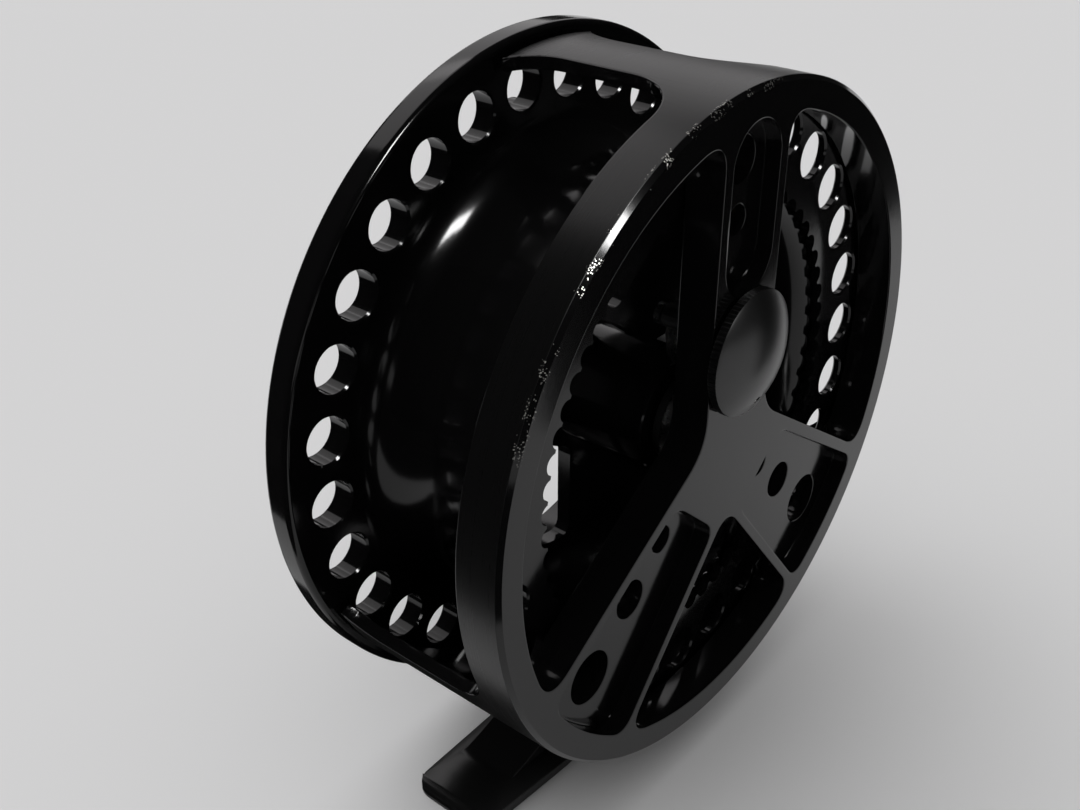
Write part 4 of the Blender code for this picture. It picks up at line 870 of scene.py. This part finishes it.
def spool_cap():
    wall = CAP_OUTER - CAP_BORE
    profile = [
        (0, CAP_CEILING),
        (CAP_BORE, CAP_CEILING),
        (CAP_BORE, CAP_BACK),
        (CAP_OUTER, CAP_BACK),
        *soft_corner((CAP_OUTER, CAP_FRONT - wall), (CAP_OUTER, CAP_FRONT), (CAP_OUTER - wall, CAP_FRONT)),
        (0, CAP_FRONT),
    ]
    cap = turned("spool_cap_turned", profile, 96, closed=False)
    half = LATCH_TAB + PLAY
    slot = [(-2 * CAP_OUTER, -half), (0, -half), (0, half), (-2 * CAP_OUTER, half)]
    boolean(cap, prism("latch_slot", slot, LATCH_BACK - PLAY, LATCH_FRONT + PLAY))
    return broken_edges(cap, CAP_EDGE, 2, 40)


def cap_screw(name, height):
    head_back = CAP_FRONT + PLAY
    head_front = head_back + CAP_SCREW_RADIUS
    profile = [
        (0, CAP_SCREW_TIP),
        (CAP_SCREW_RADIUS, CAP_SCREW_TIP),
        (CAP_SCREW_RADIUS, head_back),
        (CAP_SCREW_HEAD, head_back),
        *rounded_end(CAP_SCREW_HEAD, head_front, -1, 0.3 * MM),
        (0, head_front),
    ]
    screw = turned(name, profile, 48, 0, height, closed=False)
    return slotted(screw, 0, height, CAP_SCREW_HEAD, head_front, 0.35 * MM)


def spindle():
    flange_front = SPINDLE_SEAT + 1.5 * MM
    profile = [
        (0, SPINDLE_SEAT),
        (SPINDLE_FLANGE, SPINDLE_SEAT),
        *rounded_end(SPINDLE_FLANGE, flange_front, -1, 0.3 * MM),
        (SPINDLE_RADIUS, flange_front),
        (SPINDLE_RADIUS, LATCH_BACK - PLAY),
        (SPINDLE_GROOVE, LATCH_BACK - PLAY),
        (SPINDLE_GROOVE, LATCH_FRONT + PLAY),
        (SPINDLE_RADIUS, LATCH_FRONT + PLAY),
        (SPINDLE_GROOVE, SPINDLE_END),
        (0, SPINDLE_END),
    ]
    return smoothed(turned("spindle_turned", profile, SMALL_STEPS, closed=False))


def thrust_washer():
    edge = 0.15 * MM
    profile = [
        (SPINDLE_RADIUS + PLAY, WASHER_BACK),
        *rounded_end(WASHER_RADIUS, WASHER_BACK, 1, edge)[::-1],
        *rounded_end(WASHER_RADIUS, WASHER_FRONT, -1, edge),
        (SPINDLE_RADIUS + PLAY, WASHER_FRONT),
    ]
    return smoothed(turned("thrust_washer_turned", profile, SMALL_STEPS))


# Reel foot


def upright_prism(name, outline, near, far):
    """A block with this (x, z) outline between two places along Y, on the foot's own frame."""
    points = [(x, near, z) for x, z in outline]
    piece = trace(name, points)
    bpy.ops.mesh.edge_face_add()
    bpy.ops.mesh.extrude_region_move(TRANSFORM_OT_translate={"value": (0, far - near, 0)})
    tidy_faces()
    return piece


def foot_side():
    tip = FOOT_LENGTH / 2
    edge = FOOT_STEM_LENGTH / 2
    reach = math.asin(edge / FOOT_SADDLE)
    seat = [(x, AXLE + z) for x, z in arc(FOOT_SADDLE, math.pi - reach, math.pi + reach, 40)]
    shoulder = (FOOT_FOOTING / 2, FOOT_SHOULDER)
    nose_end = (tip - FOOT_TIP_THICKNESS, FOOT_TIP_THICKNESS)
    rise = soft_corner(nose_end, shoulder, seat[0], 16)
    nose = soft_corner((tip, 0), (tip, FOOT_TIP_THICKNESS), nose_end, 8)
    right = nose + rise[1:-1]
    return right + seat + mirrored(right)


def foot_plan():
    tip = FOOT_LENGTH / 2
    end = FOOT_TIP_WIDTH / 2
    right = [(FOOT_FOOTING / 2, FOOT_WIDTH / 2)]
    right += soft_corner((tip - FOOT_TIP_ROUND, end), (tip, end), (tip, end - FOOT_TIP_ROUND), 12)
    right += [(x, -y) for x, y in reversed(right)]
    return right + mirrored(right)


def foot_section():
    edge = FOOT_WIDTH / 2 + MM
    stem = FOOT_STEM_WIDTH / 2
    right = [(edge, -MM), (edge, FOOT_EDGE), (stem, FOOT_BEVEL_TOP), (stem, 20 * MM)]
    return right + mirrored(right)


def reel_foot():
    foot = upright_prism("reel_foot_machined", foot_side(), -FOOT_WIDTH, FOOT_WIDTH)
    points = [(x, y, -MM) for x, y in foot_plan()]
    plan = trace("foot_plan", points)
    bpy.ops.mesh.edge_face_add()
    bpy.ops.mesh.extrude_region_move(TRANSFORM_OT_translate={"value": (0, 0, 20 * MM)})
    tidy_faces()
    boolean(foot, plan, "INTERSECT")
    points = [(-FOOT_LENGTH, y, z) for y, z in foot_section()]
    section = trace("foot_section", points)
    bpy.ops.mesh.edge_face_add()
    bpy.ops.mesh.extrude_region_move(TRANSFORM_OT_translate={"value": (2 * FOOT_LENGTH, 0, 0)})
    tidy_faces()
    boolean(foot, section, "INTERSECT")
    return broken_edges(foot, FOOT_BREAK, 2, 40)


# Materials


class Wire:
    """A socket in a material, with arithmetic that adds Math nodes."""

    def __init__(self, finish, socket):
        self.finish = finish
        self.socket = socket

    def math(self, operation, first, second):
        return self.finish.node("ShaderNodeMath", {"operation": operation}, {0: first, 1: second})

    def __add__(self, other):
        return self.math("ADD", self, other)

    def __radd__(self, other):
        return self.math("ADD", other, self)

    def __sub__(self, other):
        return self.math("SUBTRACT", self, other)

    def __mul__(self, other):
        return self.math("MULTIPLY", self, other)

    def __pow__(self, other):
        return self.math("POWER", self, other)

    def above(self, level):
        return self.math("GREATER_THAN", self, level)

    def below(self, level):
        return self.math("LESS_THAN", self, level)


class Finish:
    """A material being made: its nodes and its Principled shader."""

    def __init__(self, name):
        self.material = bpy.data.materials.new(name)
        self.material.use_nodes = True
        self.tree = self.material.node_tree
        self.shader = self.tree.nodes["Principled BSDF"]

    def node(self, kind, settings, inputs, output=0):
        made = self.tree.nodes.new(kind)
        for key, value in settings.items():
            if key == "stops":
                for stop, (place, colour) in zip(made.color_ramp.elements, value):
                    stop.position = place
                    stop.color = colour
            else:
                setattr(made, key, value)
        for key, value in inputs.items():
            self.feed(made.inputs[key], value)
        return Wire(self, made.outputs[output])

    def feed(self, socket, value):
        if isinstance(value, Wire):
            self.tree.links.new(value.socket, socket)
        else:
            socket.default_value = value

    def wear(self, **sockets):
        for name, value in sockets.items():
            self.feed(self.shader.inputs[name.replace("_", " ")], value)
        return self

    def places(self):
        return self.node("ShaderNodeTexCoord", {}, {}, "Object")

    def split(self, vector):
        parts = self.tree.nodes.new("ShaderNodeSeparateXYZ")
        self.feed(parts.inputs[0], vector)
        return [Wire(self, socket) for socket in parts.outputs]

    def noise(self, scale, detail=2.0, rough=0.5, vector=None):
        places = vector or self.places()
        inputs = {"Vector": places, "Scale": scale, "Detail": detail, "Roughness": rough}
        return self.node("ShaderNodeTexNoise", {}, inputs, "Fac")

    def dots(self, scale):
        inputs = {"Vector": self.places(), "Scale": scale}
        return self.node("ShaderNodeTexVoronoi", {}, inputs, "Distance")

    def ramp(self, value, low, high):
        stops = ((low, (0, 0, 0, 1)), (high, (1, 1, 1, 1)))
        return self.node("ShaderNodeValToRGB", {"stops": stops}, {0: value})

    def mix(self, share, first, second):
        inputs = {0: share, 6: first, 7: second}
        return self.node("ShaderNodeMix", {"data_type": "RGBA"}, inputs, 2)

    def bump(self, height, strength, distance):
        inputs = {"Strength": strength, "Distance": distance, "Height": height}
        return self.node("ShaderNodeBump", {}, inputs, "Normal")


BLACK = (0.0032, 0.0031, 0.0033, 1)
WORN = (0.62, 0.61, 0.58, 1)
WEAR_BAND = 1.6 * RING_CHAMFER


def gloss_anodise():
    """Gloss black anodise: faint haze, turning marks, and bare specks along the ring's chamfer."""
    finish = Finish("gloss_black_anodise")
    across, y, z = finish.split(finish.places())
    up = z - AXLE
    radius = (across * across + up * up) ** 0.5
    depth = y - BACK
    on_edge = radius.above(RING_RADIUS - WEAR_BAND) * depth.below(WEAR_BAND)
    worn_side = finish.ramp(up * 14.0 - across * 9.0, 0.58, 0.70)
    specks = finish.dots(4200.0).below(0.34)
    patches = finish.noise(420.0, 3.0, 0.6).above(0.53)
    worn = on_edge * specks * patches * worn_side
    haze = finish.noise(55.0, 4.0, 0.6)
    fine = finish.noise(900.0, 2.0, 0.5)
    cage_side = radius.above(RING_RADIUS - 0.05 * MM) * depth.below(CAGE_DEPTH)
    drum = radius.above(ARBOR_INSIDE) * radius.below(FRONT_BEAD) * depth.above(DRUM_BACK)
    turning = finish.node("ShaderNodeCombineXYZ", {}, {0: depth, 1: radius})
    marks = finish.noise(4200.0, 3.0, 0.7, turning)
    turned_share = cage_side + drum * 0.1
    finish.wear(
        Base_Color=finish.mix(worn, BLACK, WORN),
        Roughness=0.07 + haze * 0.06 + fine * 0.02 + turned_share * (0.12 + marks * 0.12) + worn * 0.2,
        Metallic=worn,
        IOR=1.42,
        Normal=finish.bump(fine + marks * turned_share * 0.6, 0.05, 0.00005),
    )
    return finish.material


def knob_anodise():
    finish = Finish("knob_black_anodise")
    haze = finish.noise(120.0, 3.0)
    fine = finish.noise(1500.0, 2.0)
    finish.wear(
        Base_Color=(0.0045, 0.0045, 0.0046, 1),
        Roughness=0.27 + haze * 0.08,
        IOR=1.6,
        Normal=finish.bump(fine, 0.06, 0.00005),
    )
    return finish.material


def foot_anodise():
    finish = Finish("foot_black_anodise")
    haze = finish.noise(90.0, 3.0)
    grain = finish.noise(1800.0, 2.0)
    finish.wear(
        Base_Color=(0.005, 0.005, 0.0052, 1),
        Roughness=0.24 + haze * 0.12,
        IOR=1.55,
        Normal=finish.bump(grain, 0.1, 0.00005),
    )
    return finish.material


def bright_metal(name, colour, roughness, scale):
    """Turned or rolled bare metal with fine tool marks."""
    finish = Finish(name)
    marks = finish.noise(scale, 3.0, 0.6)
    tone = finish.mix(marks * 0.5, colour, tuple(part * 0.7 for part in colour[:3]) + (1,))
    finish.wear(
        Base_Color=tone,
        Roughness=roughness + marks * 0.12,
        Metallic=1.0,
        Normal=finish.bump(marks, 0.08, 0.00005),
    )
    return finish.material


def plain_polymer(name, colour, roughness, scale):
    finish = Finish(name)
    grain = finish.noise(scale, 3.0, 0.6)
    tone = finish.mix(grain * 0.4, colour, tuple(part * 0.75 for part in colour[:3]) + (1,))
    finish.wear(
        Base_Color=tone,
        Roughness=roughness + grain * 0.1,
        Normal=finish.bump(grain, 0.1, 0.0001),
    )
    return finish.material


FINISHES = {
    "black_anodise": gloss_anodise(),
    "knob_anodise": knob_anodise(),
    "foot_anodise": foot_anodise(),
    "stainless_steel": bright_metal("turned_stainless", (0.56, 0.56, 0.55, 1), 0.22, 900.0),
    "spring_steel": bright_metal("rolled_spring_steel", (0.33, 0.33, 0.34, 1), 0.28, 700.0),
    "bearing_bronze": bright_metal("turned_bronze", (0.50, 0.32, 0.14, 1), 0.3, 800.0),
    "handle_resin": plain_polymer("black_handle_resin", (0.012, 0.0115, 0.011, 1), 0.32, 600.0),
    "washer_polymer": plain_polymer("black_washer_polymer", (0.016, 0.016, 0.016, 1), 0.4, 500.0),
}


def dress_cad_nodes():
    """Gives each node of the frame its slot's finish."""
    for entry in frame["record"]["subparts"]:
        node = frame["nodes"][entry["node"]]
        node.data.materials.clear()
        node.data.materials.append(FINISHES[entry["material_slot"]])


def stand_for(piece, node, body, slot):
    """The piece takes the place of a node, rides on its body and wears its slot's finish."""
    piece.data.materials.clear()
    piece.data.materials.append(FINISHES[slot])
    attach(piece, body)
    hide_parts(node)


# Stage


def stage_floor():
    ready()
    bpy.ops.mesh.primitive_plane_add(size=8.0, location=(0, 0, 0))
    floor = bpy.context.object
    floor.name = "pale_floor"
    finish = Finish("pale_cloth_floor")
    finish.wear(Base_Color=(0.66, 0.66, 0.67, 1), Roughness=0.9)
    finish.shader.inputs["Specular IOR Level"].default_value = 0.0
    floor.data.materials.append(finish.material)


def dark_card(name, place, tilt, turn, size):
    """A black card that only reflections see; stood up it is a studio flag, laid on the floor it is
    painted shade.
    """
    ready()
    bpy.ops.mesh.primitive_plane_add(size=1, location=place, rotation=(tilt, 0, turn))
    card = bpy.context.object
    card.name = name
    card.scale = (size[0], size[1], 1)
    finish = Finish("black_flag_and_painted_shade_card")
    finish.wear(Base_Color=(0.01, 0.01, 0.01, 1), Roughness=1.0)
    finish.shader.inputs["Specular IOR Level"].default_value = 0.0
    card.data.materials.append(finish.material)
    card.visible_camera = False
    card.visible_diffuse = False
    card.visible_transmission = False
    card.visible_shadow = False


def aim(lamp, place, target):
    direction = [b - a for a, b in zip(place, target)]
    length = math.sqrt(sum(part * part for part in direction))
    lamp.rotation_euler = (
        math.acos(-direction[2] / length),
        0,
        math.atan2(direction[1], direction[0]) - math.pi / 2,
    )


def softbox(name, place, target, size, watts, tint=(1, 1, 1)):
    ready()
    bpy.ops.object.light_add(type="AREA", location=place)
    lamp = bpy.context.object
    lamp.name = name
    lamp.data.shape = "RECTANGLE"
    lamp.data.size, lamp.data.size_y = size
    lamp.data.energy = watts
    lamp.data.color = tint
    lamp.visible_diffuse = False
    aim(lamp, place, target)


def room():
    """A room that lights the floor evenly, shows pale behind it and is dark in reflections."""
    world = bpy.data.worlds.new("soft_room")
    world.use_nodes = True
    nodes, links = world.node_tree.nodes, world.node_tree.links
    path = nodes.new("ShaderNodeLightPath")
    shown = nodes.new("ShaderNodeMath")
    shown.operation = "MULTIPLY_ADD"
    links.new(path.outputs["Is Camera Ray"], shown.inputs[0])
    shown.inputs[1].default_value = 0.60
    shown.inputs[2].default_value = 0.012
    sky = nodes.new("ShaderNodeTexCoord")
    slope = nodes.new("ShaderNodeVectorMath")
    slope.operation = "DOT_PRODUCT"
    slope.inputs[1].default_value = (0.0, 0.45, 0.70)
    links.new(sky.outputs["Generated"], slope.inputs[0])
    fall = nodes.new("ShaderNodeMath")
    fall.operation = "ADD"
    fall.use_clamp = True
    fall.inputs[1].default_value = 0.1
    links.new(slope.outputs["Value"], fall.inputs[0])
    spread = nodes.new("ShaderNodeMath")
    spread.operation = "MULTIPLY"
    links.new(path.outputs["Is Diffuse Ray"], spread.inputs[0])
    links.new(fall.outputs[0], spread.inputs[1])
    lit = nodes.new("ShaderNodeMath")
    lit.operation = "MULTIPLY_ADD"
    links.new(spread.outputs[0], lit.inputs[0])
    lit.inputs[1].default_value = 1.48
    links.new(shown.outputs[0], lit.inputs[2])
    background = nodes["Background"]
    background.inputs["Color"].default_value = (1.0, 0.995, 0.985, 1)
    links.new(lit.outputs[0], background.inputs["Strength"])
    bpy.context.scene.world = world


def studio():
    room()
    middle = (0, 0, 0.05)
    ready()
    bpy.ops.object.light_add(type="SUN", location=(-0.3, 0.5, 0.8))
    key = bpy.context.object
    key.name = "soft_key"
    key.data.energy = 0.45
    key.data.angle = math.radians(35)
    key.visible_glossy = False
    aim(key, (-0.2, 0.25, 0.9), (0, 0, 0))
    softbox("far_softbox", (0.70, 0.75, 0.60), middle, (1.0, 0.7), 1.7, SOFTBOX_TINT)
    softbox("over_softbox", (0.16, 0.65, 1.0), middle, (0.7, 0.6), 1.3, SOFTBOX_TINT)
    softbox("near_lamp", (-0.04, -0.76, 0.70), middle, (0.14, 0.34), 6.0)
    upright = math.pi / 2
    dark_card("near_card", (0.3, -0.093, 0.05), upright, 0, (0.5, 0.1))
    dark_card("left_card", (-0.2, 0.15, 0.2), upright, upright, (0.7, 0.4))
    # Painted shade: a black sheet on the floor left of the reel, seen only in reflections, stands in for
    # that floor lying in shade.
    dark_card("painted_shade_left_floor", (-0.38, 0.05, 0.0005), 0, 0, (0.6, 0.9))
    # Painted shade: a black sheet on the floor under the reel, seen only in reflections, stands in for the
    # reel's shadow there.
    dark_card("painted_shade_under_reel", (-0.012, 0.03, 0.0005), 0, 0, (0.07, 0.07))


def camera():
    ready()
    bpy.ops.object.camera_add(
        location=CAMERA_PLACE, rotation=(math.pi / 2 - CAMERA_ELEVATION, 0, CAMERA_AZIMUTH)
    )
    eye = bpy.context.object
    eye.name = "photo_camera"
    eye.data.sensor_width = 36.0
    eye.data.lens = CAMERA_LENS
    eye.data.clip_start = 0.005
    bpy.context.scene.camera = eye


def assemble():
    camera()
    stage_floor()
    studio()
    dress_cad_nodes()
    stand_for(frame_cage(), "frame_cage", "frame", "black_anodise")
    stand_for(spool(), "spool", "spool_group", "black_anodise")
    stand_for(rear_flange(), "rear_flange", "spool_group", "black_anodise")
    stand_for(regulator_knob(), "regulator_knob", "regulator", "knob_anodise")
    stand_for(reel_foot(), "reel_foot", "frame", "foot_anodise")
    stand_for(handle_knob(), "handle_knob", "handle", "handle_resin")
    stand_for(handle_post(), "handle_post", "spool_group", "stainless_steel")
    stand_for(handle_screw(), "handle_screw", "spool_group", "stainless_steel")
    stand_for(counterweight(), "counterweight", "spool_group", "black_anodise")
    stand_for(counterweight_screw(), "counterweight_screw", "spool_group", "stainless_steel")
    stand_for(spool_cap(), "spool_cap", "spool_group", "black_anodise")
    for node, side in (("cap_screw_upper", 1), ("cap_screw_lower", -1)):
        screw = cap_screw(node + "_turned", side * CAP_SCREW_OFFSET)
        stand_for(screw, node, "spool_group", "stainless_steel")
    stand_for(spindle(), "spindle", "frame", "stainless_steel")
    stand_for(thrust_washer(), "thrust_washer", "frame", "washer_polymer")
    bpy.context.scene.view_settings.view_transform = "Standard"


assemble()
